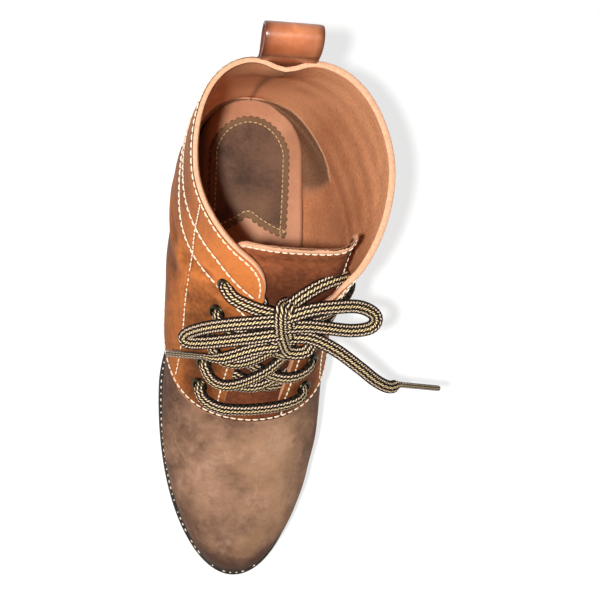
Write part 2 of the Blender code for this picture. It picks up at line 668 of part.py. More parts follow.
def build_pull_loop(look):
    path = smooth_route([(0.0, s.y, s.z) for s in STRAP], 3.4)
    along = np.gradient(path, axis=0)
    out = np.stack([0.0 * path[:, 0], along[:, 2], -along[:, 1]], axis=1)
    out /= np.linalg.norm(out, axis=1, keepdims=True)
    layers = []
    for side in (0.5, -0.5):
        face = path + side * LOOP_THICK * out
        edges = [face + np.array([LOOP_X + x, 0.0, 0.0]) for x in (-LOOP_WIDE / 2.0, LOOP_WIDE / 2.0)]
        layers.append(np.stack(edges, axis=1))
    points, faces = shell(layers[0], layers[1], lambda i, j: False, lambda i, j: (i, j))
    add_part("pull_loop", make_mesh("pull_loop", points, faces), look)


def smooth_route(points, step):
    """Points a step apart on a smooth curve through the given ones."""
    p = np.asarray(points, float)
    p = np.concatenate([[2.0 * p[0] - p[1]], p, [2.0 * p[-1] - p[-2]]])
    u = np.linspace(0.0, 1.0, 24, endpoint=False)[:, None]
    pieces = []
    for a, b, c, d in zip(p[:-3], p[1:-2], p[2:-1], p[3:]):
        bend = 2.0 * a - 5.0 * b + 4.0 * c - d + u * (3.0 * (b - c) + d - a)
        pieces.append(b + 0.5 * u * (c - a + u * bend))
    dense = np.concatenate(pieces + [p[-2:-1]])
    far = np.concatenate([[0.0], np.cumsum(np.linalg.norm(np.diff(dense, axis=0), axis=1))])
    places = np.linspace(0.0, far[-1], max(2, int(round(far[-1] / step)) + 1))
    return np.stack([np.interp(places, far, dense[:, k]) for k in range(3)], axis=1)


def add_cord(name, points, thick, look):
    """A tube along points, as a curve object."""
    curve = bpy.data.curves.new(name, "CURVE")
    curve.dimensions = "3D"
    curve.bevel_depth = thick * 0.0005
    curve.bevel_resolution = 2
    curve.use_fill_caps = True
    line = curve.splines.new("POLY")
    line.points.add(len(points) - 1)
    for spot, p in zip(line.points, points):
        spot.co = ((p[0] + MIDDLE_X) * 0.001, p[1] * 0.001, p[2] * 0.001, 1.0)
    curve.materials.append(look)
    o = bpy.data.objects.new(name, curve)
    bpy.data.collections[PARTS].objects.link(o)
    return o


def cord_mesh(name, points, look):
    """The same tube as a closed mesh."""
    cord = add_cord(name + "_line", points, LACE, look)
    bpy.context.view_layer.update()
    depsgraph = bpy.context.evaluated_depsgraph_get()
    mesh = bpy.data.meshes.new_from_object(cord.evaluated_get(depsgraph))
    mesh.name = name
    mesh.transform(cord.matrix_world)
    bpy.data.objects.remove(cord)
    edit = bmesh.new()
    edit.from_mesh(mesh)
    bmesh.ops.remove_doubles(edit, verts=edit.verts, dist=0.000001)
    bmesh.ops.recalc_face_normals(edit, faces=edit.faces)
    edit.to_mesh(mesh)
    edit.free()
    return mesh


def over_throat(places):
    """Points of the lace on the upper. Each place is a row, a distance beside the middle of
    the throat, inner side negative, and a lift."""
    route = smooth_route([(row * 10.0, off, lift) for row, off, lift in places], 3.0)
    points = []
    for row, off, lift in route:
        v = share_at(row / 10.0, abs(off), -1 if off < 0 else 1)
        points.append(on_upper(row / 10.0, v, np.array(lift)))
    return smooth_route(points, CROSSING_STEP)


def lace_places(first_side):
    """The lace from under the knot to the top eyelet and down from side to side."""
    top = EYELET_ROWS[-1]
    edge = float(throat_half(top, first_side)) - 1.5
    places = [(top + 0.6, first_side * 3.4, OVER_TONGUE), (top + 0.5, first_side * edge, OVER_FACING)]
    side = first_side
    for row, lower in zip(EYELET_ROWS[::-1], EYELET_ROWS[-2::-1] + (None,)):
        off = eyelet_off(row, side)
        places.append((row + TURN_ROWS, side * (off - TURN_OFF), OVER_EYELET))
        places.append((row, side * (off + 1.0), OVER_EYELET))
        if lower:
            edge = float(throat_half(row, side)) + 1.5
            other = float(throat_half(lower, -side)) + 1.5
            places.append((row - TURN_ROWS, side * (off - TURN_OFF), OVER_EYELET))
            places.append((0.75 * row + 0.25 * lower, side * edge, OVER_FACING))
            places.append((0.5 * (row + lower), 0.0, OVER_TONGUE))
            places.append((0.25 * row + 0.75 * lower, -side * other, OVER_FACING))
        side = -side
    return places


def build_lace(look, tip_look):
    lateral = lace_places(1)
    medial = lace_places(-1)
    row = EYELET_ROWS[0]
    bar = [(BAR_ROW + 0.1, 20.0, OVER_EYELET), (BAR_ROW, 8.0, OVER_FACING), (BAR_ROW, -8.0, OVER_FACING)]
    bar += [(BAR_ROW + 0.1, -20.0, OVER_EYELET), (row, -eyelet_off(row, -1), OVER_EYELET)]
    mesh = cord_mesh("lace_crossings", over_throat(lateral + bar), look)
    crossings = bpy.data.objects.new("lace_crossings", mesh)
    bpy.data.collections[PARTS].objects.link(crossings)
    mesh.shade_smooth()
    other = bpy.data.objects.new("lace_other_half", cord_mesh("lace_other_half", over_throat(medial), look))
    bpy.data.collections[CUTTERS].objects.link(other)
    other.hide_render = True
    other.display_type = "WIRE"
    combine(crossings, other, "UNION")
    cords = (
        ("lace_knot", KNOT), ("lace_loop_medial", LOOP_MEDIAL), ("lace_loop_lateral", LOOP_LATERAL),
        ("lace_end_medial", END_MEDIAL), ("lace_end_lateral", END_LATERAL),
    )
    for name, route in cords:
        add_cord(name, smooth_route(route, LACE_STEP), LACE, look)
    add_cord("aglet_medial", AGLET_MEDIAL, AGLET, tip_look)
    add_cord("aglet_lateral", AGLET_LATERAL, AGLET, tip_look)


def main():
    clear_scene()
    nubuck = material("nubuck", (0.33, 0.19, 0.11), 0.85)
    hide = material("burnished_leather", (0.52, 0.22, 0.06), 0.4)
    tongue_look = material("brown_leather", (0.24, 0.11, 0.05), 0.6)
    rubber = material("dark_rubber", (0.03, 0.025, 0.02), 0.6)
    welt_look = material("dark_welt", (0.04, 0.03, 0.025), 0.6)
    insole_look = material("insole_leather", (0.55, 0.29, 0.2), 0.6)
    pad_look = material("dark_nubuck", (0.12, 0.06, 0.04), 0.9)
    bronze = material("antique_bronze", (0.16, 0.1, 0.06), 0.35, 1.0)
    build_upper(nubuck)
    build_tongue(tongue_look)
    build_sole(rubber, welt_look)
    build_heel(rubber)
    build_insole(insole_look, pad_look)
    build_eyelets(bronze)
    build_pull_loop(hide)
    build_lace(material("lace_braid", (0.05, 0.045, 0.04), 0.8), material("clear_tip", (0.45, 0.3, 0.22), 0.25))


main()
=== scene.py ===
import math
from collections import namedtuple

import bpy
import numpy as np
from mathutils import Matrix, Vector, kdtree


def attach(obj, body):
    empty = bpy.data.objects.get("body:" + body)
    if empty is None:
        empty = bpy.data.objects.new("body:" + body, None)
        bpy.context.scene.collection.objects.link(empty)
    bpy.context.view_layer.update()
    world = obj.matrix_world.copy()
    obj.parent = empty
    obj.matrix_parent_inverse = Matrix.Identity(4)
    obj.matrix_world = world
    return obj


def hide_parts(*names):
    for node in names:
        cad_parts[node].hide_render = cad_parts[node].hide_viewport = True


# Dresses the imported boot: camera and light, lace, leathers, lining, sole and stitches.
# Sizes are in millimetres, with x from the middle of the sole. in_metres gives the part's frame.
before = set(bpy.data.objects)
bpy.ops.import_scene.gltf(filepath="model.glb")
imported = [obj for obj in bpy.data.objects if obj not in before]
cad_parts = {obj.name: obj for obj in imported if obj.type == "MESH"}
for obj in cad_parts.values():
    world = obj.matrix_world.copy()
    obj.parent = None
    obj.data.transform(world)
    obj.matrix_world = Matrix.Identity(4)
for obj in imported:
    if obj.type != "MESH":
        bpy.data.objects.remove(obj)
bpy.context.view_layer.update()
MIDDLE_X, MM = -6.4, 0.001

# The boot's own surface, with the same named sizes as the solids
GAP, UPPER_GAP = 0.3, 0.5
TOE_END, HEEL_END = -136.0, 136.0
BALL_Y, BALL_MEDIAL, BALL_LATERAL = -30.0, 44.9, 45.4
HEEL_Y, HEEL_HALF = 101.0, 35.0
SPRING_Y, TOE_SPRING = -78.0, 10.0
ARCH_Y, ARCH_END, HEEL_HEIGHT = -30.0, 90.0, 29.0
BREAST_Y = 76.0
OUTSOLE_THICK, WELT_THICK, WELT_SHOWS, WELT_INNER = 5.5, 3.0, 2.4, 5.3
HEEL_TAPER = 2.5
TREAD_DEEP, TREAD_WIDE, TREAD_RIM = 1.6, 3.2, 8.0
TREAD_FOREFOOT = (-76.0, -67.0, -58.0, -49.0, -40.0, -31.0)
TREAD_HEEL = (91.0, 102.0, 113.0)
Waist = namedtuple("Waist", "y medial lateral")
WAIST = (
    Waist(BALL_Y, BALL_MEDIAL, BALL_LATERAL),
    Waist(36.0, 32.5, 37.5),
    Waist(HEEL_Y, HEEL_HALF, HEEL_HALF),
)
# A row number counts the sections from the toe to the collar. A share goes round a section, from 0
# on the front ridge to -1 on the inner and 1 on the outer side, where it meets the welt or the back seam.
Section = namedtuple("Section", "front_x front_y front_z back_x back_y back_z medial lateral widest crown")
SECTIONS = (
    Section(0.3, -133.6, 17.9, 0.0, -133.6, 17.9, 0.0, 0.0, 0.75, 0.85),
    Section(0.3, -130.5, 29.0, 0.0, -132.2, 17.6, 7.6, 7.6, 0.75, 0.85),
    Section(0.3, -124.5, 37.5, 0.0, -127.6, 16.3, 15.0, 15.0, 0.75, 0.85),
    Section(0.2, -114.5, 43.5, 0.0, -118.0, 13.9, 23.2, 23.2, 0.74, 0.86),
    Section(0.0, -100.0, 48.0, 0.0, -103.0, 11.0, 31.0, 31.4, 0.72, 0.88),
    Section(-0.4, -83.0, 52.0, 0.0, -84.0, 9.2, 37.4, 37.9, 0.69, 0.92),
    Section(-0.6, -66.0, 57.5, 0.0, -62.0, 9.1, 41.8, 42.0, 0.65, 0.96),
    Section(0.0, -50.0, 64.5, 0.0, -40.0, 9.1, 43.4, 43.6, 0.60, 1.00),
    Section(1.5, -36.0, 75.0, 0.0, 0.0, 11.0, 44.0, 42.9, 0.55, 1.00),
    Section(3.0, -23.0, 87.0, 0.0, 45.0, 27.0, 45.6, 42.2, 0.50, 1.00),
    Section(5.0, -11.0, 99.5, 0.0, 88.0, 38.4, 46.8, 42.0, 0.45, 1.00),
    Section(7.0, -2.0, 110.0, 0.0, 117.0, 38.4, 47.4, 42.0, 0.42, 1.00),
    Section(8.0, 4.5, 118.0, 0.0, 133.6, 38.4, 47.2, 42.0, 0.41, 1.00),
    Section(9.0, 8.5, 123.5, 0.3, 134.0, 49.0, 47.2, 42.4, 0.41, 1.00),
    Section(10.0, 12.5, 129.0, 1.0, 133.4, 70.0, 47.0, 43.2, 0.42, 1.00),
    Section(11.0, 16.5, 135.5, 2.0, 129.5, 97.0, 46.6, 45.2, 0.44, 1.00),
    Section(11.7, 19.7, 141.5, 3.0, 124.7, 122.0, 46.2, 47.6, 0.46, 1.00),
    Section(12.2, 22.0, 147.5, 4.0, 122.0, 147.0, 46.0, 49.2, 0.47, 1.00),
    Section(12.6, 24.5, 160.0, 5.0, 120.5, 165.0, 45.8, 50.5, 0.47, 1.00),
)
COLUMN = {name: np.array([getattr(r, name) for r in SECTIONS]) for name in Section._fields}
ROW_HEEL, ROW_COLLAR, ROW_LAST = 12.0, 17.0, 18.0
ROW_TIP, ROW_NEXT, TIP_OUT = 0.02, 0.03, (0.0, -0.95, 0.3)
BULGE_ROW, BULGE = 7.0, 0.3
LEVEL_SHARES = (0.88, 1.0)
WALL_IN, QUARTER_STEP = 1.8, 1.2
SEAM_ROW, SEAM_SWEEP, SEAM_ENDS = 7.0, 2.2, 0.85
THROAT_ROW, THROAT_TOP, THROAT_LOW = 7.9, 15.0, 14.0
THROAT_HIGH_MEDIAL, THROAT_HIGH_LATERAL = 9.0, 27.0
CORNER_AT, CORNER_ROWS, CORNER_WIDE = 14.0, 1.7, 0.075
CORNER_ROWS_MEDIAL, CORNER_WIDE_MEDIAL = 2.9, 0.1
COLLAR_FALL, COLLAR_FALL_FROM, FALL_BEND = 2.3, 0.62, 1.5
COLLAR_FALL_MEDIAL, FALL_FROM_MEDIAL, FALL_BEND_MEDIAL = 1.1, 0.55, 3.0
LATERAL_SQUARE, LATERAL_ROWS = 0.58, (9.0, 13.5)
BACK_SQUARE, BACK_ROWS = 0.36, (13.0, 16.5)
DENT_DEEP, DENT_WIDE, DENT_SHARE, DENT_ROWS = 5.0, 10.0, 0.6, (15.0, 17.0)
EYELET_ROWS = (8.05, 8.8, 9.65, 10.75, 12.7)
EYELET_LOW, EYELET_HIGH_MEDIAL, EYELET_HIGH_LATERAL = 27.0, 26.0, 40.0
TONGUE_UNDER, TONGUE_THICK = 0.8, 2.2
TONGUE_ROWS = (7.3, 17.4)
TONGUE_FALL_MEDIAL, TONGUE_FALL_LATERAL, TONGUE_FALL_FROM = 1.7, -0.3, 11.0
TONGUE_LEANS, TONGUE_LEANS_LATERAL, TONGUE_LEANS_FROM = 4.0, 10.5, 13.0
TONGUE_FOOT_HALF, TONGUE_FOOT_ROWS, TONGUE_LOW_HALF = 14.0, (6.4, 7.9), 23.0
TONGUE_HIGH_MEDIAL, TONGUE_HIGH_LATERAL, TONGUE_HIGH_ROWS = 31.0, 34.0, (9.0, 17.0)
INSOLE_OVER, INSOLE_INSET = 3.0, 4.6
PAD_THICK = 0.9
PAD_FRONT, PAD_BACK, PAD_CORNER, PAD_HALF, PAD_NOTCH = 54.0, 122.0, 96.0, 22.5, 10.5
LOOP_WIDE, LOOP_THICK, LOOP_X = 28.0, 2.0, 5.2
Strap = namedtuple("Strap", "y z")
STRAP = (
    Strap(126.4, 118.0), Strap(123.9, 128.0), Strap(122.3, 138.0), Strap(121.5, 146.0),
    Strap(121.8, 153.0), Strap(122.7, 159.5), Strap(125.1, 164.4), Strap(128.8, 166.0),
    Strap(132.4, 164.2), Strap(134.2, 159.5), Strap(132.6, 154.0), Strap(128.4, 149.4),
    Strap(124.3, 144.5), Strap(124.75, 138.0), Strap(126.35, 128.0), Strap(128.85, 118.0),
)


def ease(u):
    u = np.clip(u, 0.0, 1.0)
    return u * u * (3.0 - 2.0 * u)


def fade(x, start, end):
    """0 at start and before it, 1 at end and past it, eased between. End may be the smaller one."""
    return ease((x - start) / (end - start))


def bell(u):
    return np.exp(-(u**2))


def rounded(u):
    """A quarter round that rises from 0 to 1."""
    return np.sqrt(np.clip(1.0 - (1.0 - np.clip(u, 0.0, 1.0)) ** 2, 0.0, 1.0))


def bent(c, power):
    """A power of c that keeps its sign."""
    return np.sign(c) * np.abs(c) ** power


def unit(a):
    return a / np.maximum(np.linalg.norm(a, axis=-1, keepdims=True), 1e-9)


def circle(count):
    return 2.0 * math.pi * np.arange(count) / count


def half_width(y, side, inset):
    """Half width of the sole at y, on the inner (-1) or outer (+1) side, inset all round."""
    y = np.asarray(y, float)
    inner = np.asarray(side) < 0
    toe = (BALL_Y - y) / (BALL_Y - TOE_END - inset)
    heel = (y - HEEL_Y) / (HEEL_END - HEEL_Y - inset)
    ball = np.where(inner, BALL_MEDIAL, BALL_LATERAL)
    toe_part = (ball - inset) * np.sqrt(np.clip(1.0 - toe**2, 0.0, 1.0))
    heel_part = (HEEL_HALF - inset) * np.sqrt(np.clip(1.0 - heel**2, 0.0, 1.0))
    between = np.zeros_like(y)
    for a, b in zip(WAIST[:-1], WAIST[1:]):
        low = np.where(inner, a.medial, a.lateral)
        high = np.where(inner, b.medial, b.lateral)
        here = low + (high - low) * fade(y, a.y, b.y) - inset
        between = np.where((y >= a.y) & (y <= b.y), here, between)
    return np.where(y < BALL_Y, toe_part, np.where(y > HEEL_Y, heel_part, between))


def across_sole(y, c, inset):
    """Half widths and x of a grid with rows at y and shares c across."""
    half = np.where(c[None, :] < 0, half_width(y, -1, inset)[:, None], half_width(y, 1, inset)[:, None])
    return half, c[None, :] * half


def ground(y):
    """Underside of the outsole: toe spring, flat forefoot, arch, heel seat."""
    y = np.asarray(y, float)
    spring = TOE_SPRING * (np.clip(SPRING_Y - y, 0.0, None) / (SPRING_Y - TOE_END)) ** 2
    return spring + HEEL_HEIGHT * fade(y, ARCH_Y, ARCH_END)


def outsole_top(y):
    return ground(y) + OUTSOLE_THICK


def feather(y):
    """Where the upper meets the welt."""
    return outsole_top(y) + GAP + WELT_THICK + UPPER_GAP


def insole_top(y):
    return feather(y) + INSOLE_OVER


def curve(p0, p1, p2, p3, u):
    """From p1 at u = 0 to p2 at u = 1, on a smooth curve that also heeds the points beside them."""
    bend = 2.0 * p0 - 5.0 * p1 + 4.0 * p2 - p3 + u * (3.0 * (p1 - p2) + p3 - p0)
    return p1 + 0.5 * u * (p2 - p0 + u * bend)


def smooth_column(name, row):
    """A column of the sections between its rows, on a smooth curve through them."""
    table = COLUMN[name]
    last = len(table) - 1
    i = np.clip(np.floor(row).astype(int), 0, last - 1)
    u = row - i
    p1, p2 = table[i], table[i + 1]
    p0 = np.where(i > 0, table[np.maximum(i - 1, 0)], 2.0 * p1 - p2)
    p3 = np.where(i < last - 1, table[np.minimum(i + 2, last)], 2.0 * p2 - p1)
    return curve(p0, p1, p2, p3, u)


def crown_at(row, side):
    square = LATERAL_SQUARE * fade(row, *LATERAL_ROWS)
    return smooth_column("crown", row) - np.where(side > 0, square, 0.0)


def last_point(row, v):
    """Face of the vamp at section row and share v, as an array of points."""
    row, v = np.broadcast_arrays(np.asarray(row, float), np.asarray(v, float))
    c = {name: smooth_column(name, row) for name in Section._fields}
    a = np.abs(v)
    side = np.where(v < 0.0, -1.0, 1.0)
    low = np.where(row < ROW_HEEL, half_width(c["back_y"], side, WELT_SHOWS), 0.0)
    back_z = np.where(row < ROW_HEEL, feather(c["back_y"]), c["back_z"])
    wide = np.where(v < 0.0, c["medial"], c["lateral"])
    wide = np.maximum(wide, np.where(row < BULGE_ROW, low + BULGE, wide))
    upper_arch = a <= 0.5
    angle = math.pi * np.where(upper_arch, a, a - 0.5)
    quarter = np.clip(angle, 0.0, math.pi / 2)
    arch = np.sin(quarter) ** crown_at(row, side)
    power = 2.0 - 2.0 * BACK_SQUARE * fade(row, *BACK_ROWS)
    wall = np.sqrt(low**2 + (wide**2 - low**2) * np.cos(quarter) ** power)
    across = np.where(upper_arch, wide * arch, wall)
    down_arch = c["widest"] * (1.0 - np.cos(angle))
    down_wall = c["widest"] + (1.0 - c["widest"]) * np.sin(angle)
    t = np.where(upper_arch, down_arch, down_wall)
    x = c["front_x"] + t * (c["back_x"] - c["front_x"]) + side * across
    y = c["front_y"] + t * (c["back_y"] - c["front_y"])
    z = c["front_z"] + t * (back_z - c["front_z"])
    drawn = fade(row, *DENT_ROWS) * np.where(a > DENT_SHARE, 1.0, 0.0)
    y = y - DENT_DEEP * drawn * bell((x - c["back_x"]) / DENT_WIDE)
    return np.stack([x, y, z], axis=-1)


def last_normal(row, v):
    """Outward direction of the surface."""
    row, v = np.broadcast_arrays(np.asarray(row, float), np.asarray(v, float))
    step = 0.004
    row_a, row_b = np.clip(row - step, ROW_TIP, ROW_LAST), np.clip(row + step, ROW_NEXT, ROW_LAST)
    v_a, v_b = np.clip(v - step, -1.0, 1.0), np.clip(v + step, -1.0, 1.0)
    along = last_point(row_b, v) - last_point(row_a, v)
    off_tip = np.maximum(row, ROW_NEXT)
    n = unit(np.cross(last_point(off_tip, v_b) - last_point(off_tip, v_a), along))
    seam = (np.abs(v) > 1.0 - step) & (row >= ROW_HEEL)
    n = np.where(seam[..., None], np.stack([0 * row, n[..., 1], n[..., 2]], axis=-1), n)
    level = np.where(row < ROW_HEEL, 1.0 - fade(np.abs(v), *LEVEL_SHARES), 1.0)
    n = n * np.stack([np.ones_like(level), np.ones_like(level), level], axis=-1)
    return unit(np.where((row < ROW_TIP)[..., None], np.array(TIP_OUT), n))


def on_upper(row, v, lift):
    """Points above the face of the vamp. The lift may be one number for all of them."""
    return last_point(row, v) + np.asarray(lift, float)[..., None] * last_normal(row, v)


def share_at(row, off, side):
    """The share at which the surface is off millimetres beside the front ridge."""
    row = np.asarray(row, float)
    wide = smooth_column("medial" if side < 0 else "lateral", row)
    return side * np.arcsin(np.clip(off / wide, 0.0, 1.0) ** (1.0 / crown_at(row, side))) / math.pi


def up_throat(row, low, high):
    """A size that changes evenly from the throat's foot to near its top."""
    u = (np.asarray(row, float) - THROAT_ROW) / (THROAT_TOP - THROAT_ROW)
    return low + (high - low) * np.clip(u, 0.0, 1.0)


def throat_half(row, side):
    return up_throat(row, THROAT_LOW, THROAT_HIGH_MEDIAL if side < 0 else THROAT_HIGH_LATERAL)


def throat_share(row, side, more=0.0):
    return share_at(row, throat_half(row, side) + more, side)


def eyelet_off(row, side):
    return up_throat(row, EYELET_LOW, EYELET_HIGH_MEDIAL if side < 0 else EYELET_HIGH_LATERAL)


def seam_row(v):
    """Row of the seam between vamp and quarters."""
    return SEAM_ROW + SEAM_SWEEP * ease(np.abs(v) / SEAM_ENDS)


def collar_row(v):
    a = np.abs(v)
    inner = np.asarray(v) < 0
    left, right = (abs(throat_share(CORNER_AT, side)) for side in (-1, 1))
    edge = np.where(inner, left, right)
    wide = np.where(inner, CORNER_WIDE_MEDIAL, CORNER_WIDE)
    near = np.clip((edge + wide - a) / wide, 0.0, 1.0)
    corner = np.where(inner, CORNER_ROWS_MEDIAL, CORNER_ROWS) * (1.0 - np.sqrt(1.0 - near**2))
    begin = np.where(inner, FALL_FROM_MEDIAL, COLLAR_FALL_FROM)
    fall = fade(a, begin, edge) ** np.where(inner, FALL_BEND_MEDIAL, FALL_BEND)
    return ROW_COLLAR - corner - np.where(inner, COLLAR_FALL_MEDIAL, COLLAR_FALL) * fall


def eyelet_place(row, side):
    """Middle of an eyelet on the quarter, and the direction out."""
    v = share_at(row, eyelet_off(row, side), side)
    return on_upper(row, v, QUARTER_STEP), last_normal(row, v)


Eyelet = namedtuple("Eyelet", "node centre out")
EYELETS = [
    Eyelet(f"eyelet_{name}_{k}", *eyelet_place(row, side))
    for name, side in (("medial", -1), ("lateral", 1))
    for k, row in enumerate(EYELET_ROWS, 1)
]

# Meshes

# Millimetres that a row and a whole share count for along a route
ROW_MM, SHARE_MM = 10.0, 100.0
# Points between two given ones on a smooth curve, and the distance between points of a close
# line and of a sewn one
CURVE_POINTS, CLOSE_STEP, SEWN_STEP = 24, 0.5, 0.8


def run_along(points):
    """How far along a line each of its points lies."""
    return np.concatenate([[0.0], np.cumsum(np.linalg.norm(np.diff(points, axis=0), axis=1))])


def read_along(places, far, values):
    return np.stack([np.interp(places, far, column) for column in values.T], axis=1)


def spread(points, step, extra=None):
    """Points a step apart along a line, and what goes with them."""
    far = run_along(points)
    places = np.linspace(0.0, far[-1], max(2, int(round(far[-1] / step)) + 1))
    moved = read_along(places, far, points)
    return moved if extra is None else (moved, read_along(places, far, extra))


def smooth_route(points, step):
    """Points a step apart on a smooth curve through the given ones."""
    p = np.asarray(points, float)
    p = np.concatenate([[2.0 * p[0] - p[1]], p, [2.0 * p[-1] - p[-2]]])
    u = np.linspace(0.0, 1.0, CURVE_POINTS, endpoint=False)[:, None]
    pieces = [curve(*near, u) for near in zip(p[:-3], p[1:-2], p[2:-1], p[3:])]
    return spread(np.concatenate(pieces + [p[-2:-1]]), step)


def route_on(places, lift, step=SEWN_STEP):
    """A line on the upper through (row, share) places, with its directions out."""
    route = smooth_route([(row * ROW_MM, v * SHARE_MM, 0.0) for row, v in places], CLOSE_STEP)
    row, v = route[:, 0] / ROW_MM, route[:, 1] / SHARE_MM
    return spread(on_upper(row, v, lift), step, last_normal(row, v))


def nearest(points, line):
    """Distance of each point from a line given as close points."""
    tree = kdtree.KDTree(len(line))
    for k, p in enumerate(line):
        tree.insert(p, k)
    tree.balance()
    flat = points.reshape(-1, 3)
    return np.array([tree.find(p)[2] for p in flat]).reshape(points.shape[:-1])


def in_metres(points):
    return ((points + np.array([MIDDLE_X, 0.0, 0.0])) * MM).tolist()


def add_mesh(name, points, faces, look, marks=None, uv=None):
    """An object from points in millimetres, with marks as numbers on its points."""
    mesh = bpy.data.meshes.new(name)
    mesh.from_pydata(in_metres(points), [], faces)
    for key, values in (marks or {}).items():
        mark = mesh.attributes.new(key, "FLOAT", "POINT")
        mark.data.foreach_set("value", np.asarray(values, np.float32).ravel())
    if uv is not None:
        corner = np.empty(len(mesh.loops), np.int32)
        mesh.loops.foreach_get("vertex_index", corner)
        layer = mesh.uv_layers.new(name="UVMap")
        layer.data.foreach_set("uv", np.asarray(uv, np.float32)[corner].ravel())
    mesh.shade_smooth()
    mesh.materials.append(LOOKS[look])
    o = bpy.data.objects.new(name, mesh)
    bpy.context.scene.collection.objects.link(o)
    return o


def grid_faces(rows, columns, around=False, keep=None, start=0):
    """Quads of a grid of points numbered row by row. keep says which of them stay."""
    i, j = np.meshgrid(np.arange(rows - 1), np.arange(columns if around else columns - 1), indexing="ij")
    n = (j + 1) % columns
    quads = np.stack([i * columns + j, i * columns + n, (i + 1) * columns + n, (i + 1) * columns + j], -1)
    if keep is not None:
        quads = quads[keep]
    return (quads.reshape(-1, 4) + start).tolist()


Grid = namedtuple("Grid", "points around keep flip", defaults=(False, None, False))


def add_grids(name, look, grids, marks=None):
    """An object from one or more grids of points. A flipped grid faces the other way."""
    faces = []
    start = 0
    for grid in grids:
        rows, columns = grid.points.shape[:2]
        quads = grid_faces(rows, columns, grid.around, grid.keep, start)
        faces += [quad[::-1] for quad in quads] if grid.flip else quads
        start += rows * columns
    return add_mesh(name, np.concatenate([g.points.reshape(-1, 3) for g in grids]), faces, look, marks)


def finish_piece(o, slot, *nodes):
    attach(o, "root")
    if nodes:
        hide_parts(*nodes)
    return o


# Materials

# The braid's plait along it, its rows across, their lean and width, and the slant of the dashes
PLAIT, PLAIT_ROW, PLAIT_LEAN = 3.4, 0.62, 0.22
ROW_REACH, ROW_MORE, DASH_SLANT = 0.15, 0.09, 1.4


def tint(r, g, b):
    """A colour given as it looks on a screen."""
    c = np.array([r, g, b]) / 255.0
    return (*np.where(c <= 0.04045, c / 12.92, ((c + 0.055) / 1.055) ** 2.4), 1.0)


class Look:
    """A material, with short ways to add its nodes."""

    def __init__(self, name, **values):
        self.material = bpy.data.materials.new(name)
        self.material.use_nodes = True
        self.tree = self.material.node_tree
        self.shader = self.tree.nodes["Principled BSDF"]
        for key, value in values.items():
            self.set(key.replace("_", " "), value)
        self.where = self.tree.nodes.new("ShaderNodeTexCoord")

    def add(self, kind):
        return self.tree.nodes.new("ShaderNode" + kind)

    def put(self, value, socket):
        if isinstance(value, bpy.types.NodeSocket):
            self.tree.links.new(value, socket)
        else:
            socket.default_value = value

    def set(self, key, value):
        self.put(value, self.shader.inputs[key])

    def math(self, kind, *values):
        node = self.add("Math")
        node.operation = kind
        for socket, value in zip(node.inputs, values):
            self.put(value, socket)
        return node.outputs[0]

    def plus(self, a, b):
        return self.math("ADD", a, b)

    def minus(self, a, b):
        return self.math("SUBTRACT", a, b)

    def times(self, a, b):
        return self.math("MULTIPLY", a, b)

    def stir(self, tone_and_painted_light, layer, amount):
        """tone moved up and down by a noise."""
        return self.plus(tone_and_painted_light, self.times(self.minus(layer, 0.5), amount))

    def mark(self, name):
        node = self.add("Attribute")
        node.attribute_name = name
        return node.outputs["Fac"]

    def noise(self, scale, detail=3.0, rough=0.5, skew=0.0, stretch=(1.0, 1.0, 1.0)):
        place = self.add("Mapping")
        place.inputs["Scale"].default_value = stretch
        self.put(self.where.outputs["Object"], place.inputs["Vector"])
        node = self.add("TexNoise")
        self.put(place.outputs["Vector"], node.inputs["Vector"])
        for key, value in (("Scale", scale), ("Detail", detail), ("Roughness", rough), ("Distortion", skew)):
            node.inputs[key].default_value = value
        return node.outputs["Fac"]

    def cells(self, scale):
        node = self.add("TexVoronoi")
        node.inputs["Scale"].default_value = scale
        self.put(self.where.outputs["Object"], node.inputs["Vector"])
        return node.outputs["Distance"]

    def range(self, value, a, b, low=0.0, high=1.0):
        """low where value is a, high where it is b, eased between."""
        node = self.add("MapRange")
        node.interpolation_type = "SMOOTHSTEP"
        for key, v in (("Value", value), ("From Min", a), ("From Max", b), ("To Min", low), ("To Max", high)):
            self.put(v, node.inputs[key])
        return node.outputs["Result"]

    def mix(self, share, a, b):
        node = self.add("Mix")
        node.data_type = "RGBA"
        # The node's share, and its two colours
        for socket, value in ((0, share), (6, a), (7, b)):
            self.put(value, node.inputs[socket])
        return node.outputs[2]

    def paint(self, body, *layers):
        """Gives the shader a colour with others laid over it, each by its share."""
        for share, colour in layers:
            body = self.mix(share, body, colour)
        self.set("Base Color", body)

    def bump(self, height, strength, distance, under=None):
        node = self.add("Bump")
        node.inputs["Strength"].default_value = strength
        node.inputs["Distance"].default_value = distance
        self.put(height, node.inputs["Height"])
        if under is not None:
            self.put(under, node.inputs["Normal"])
        return node.outputs["Normal"]


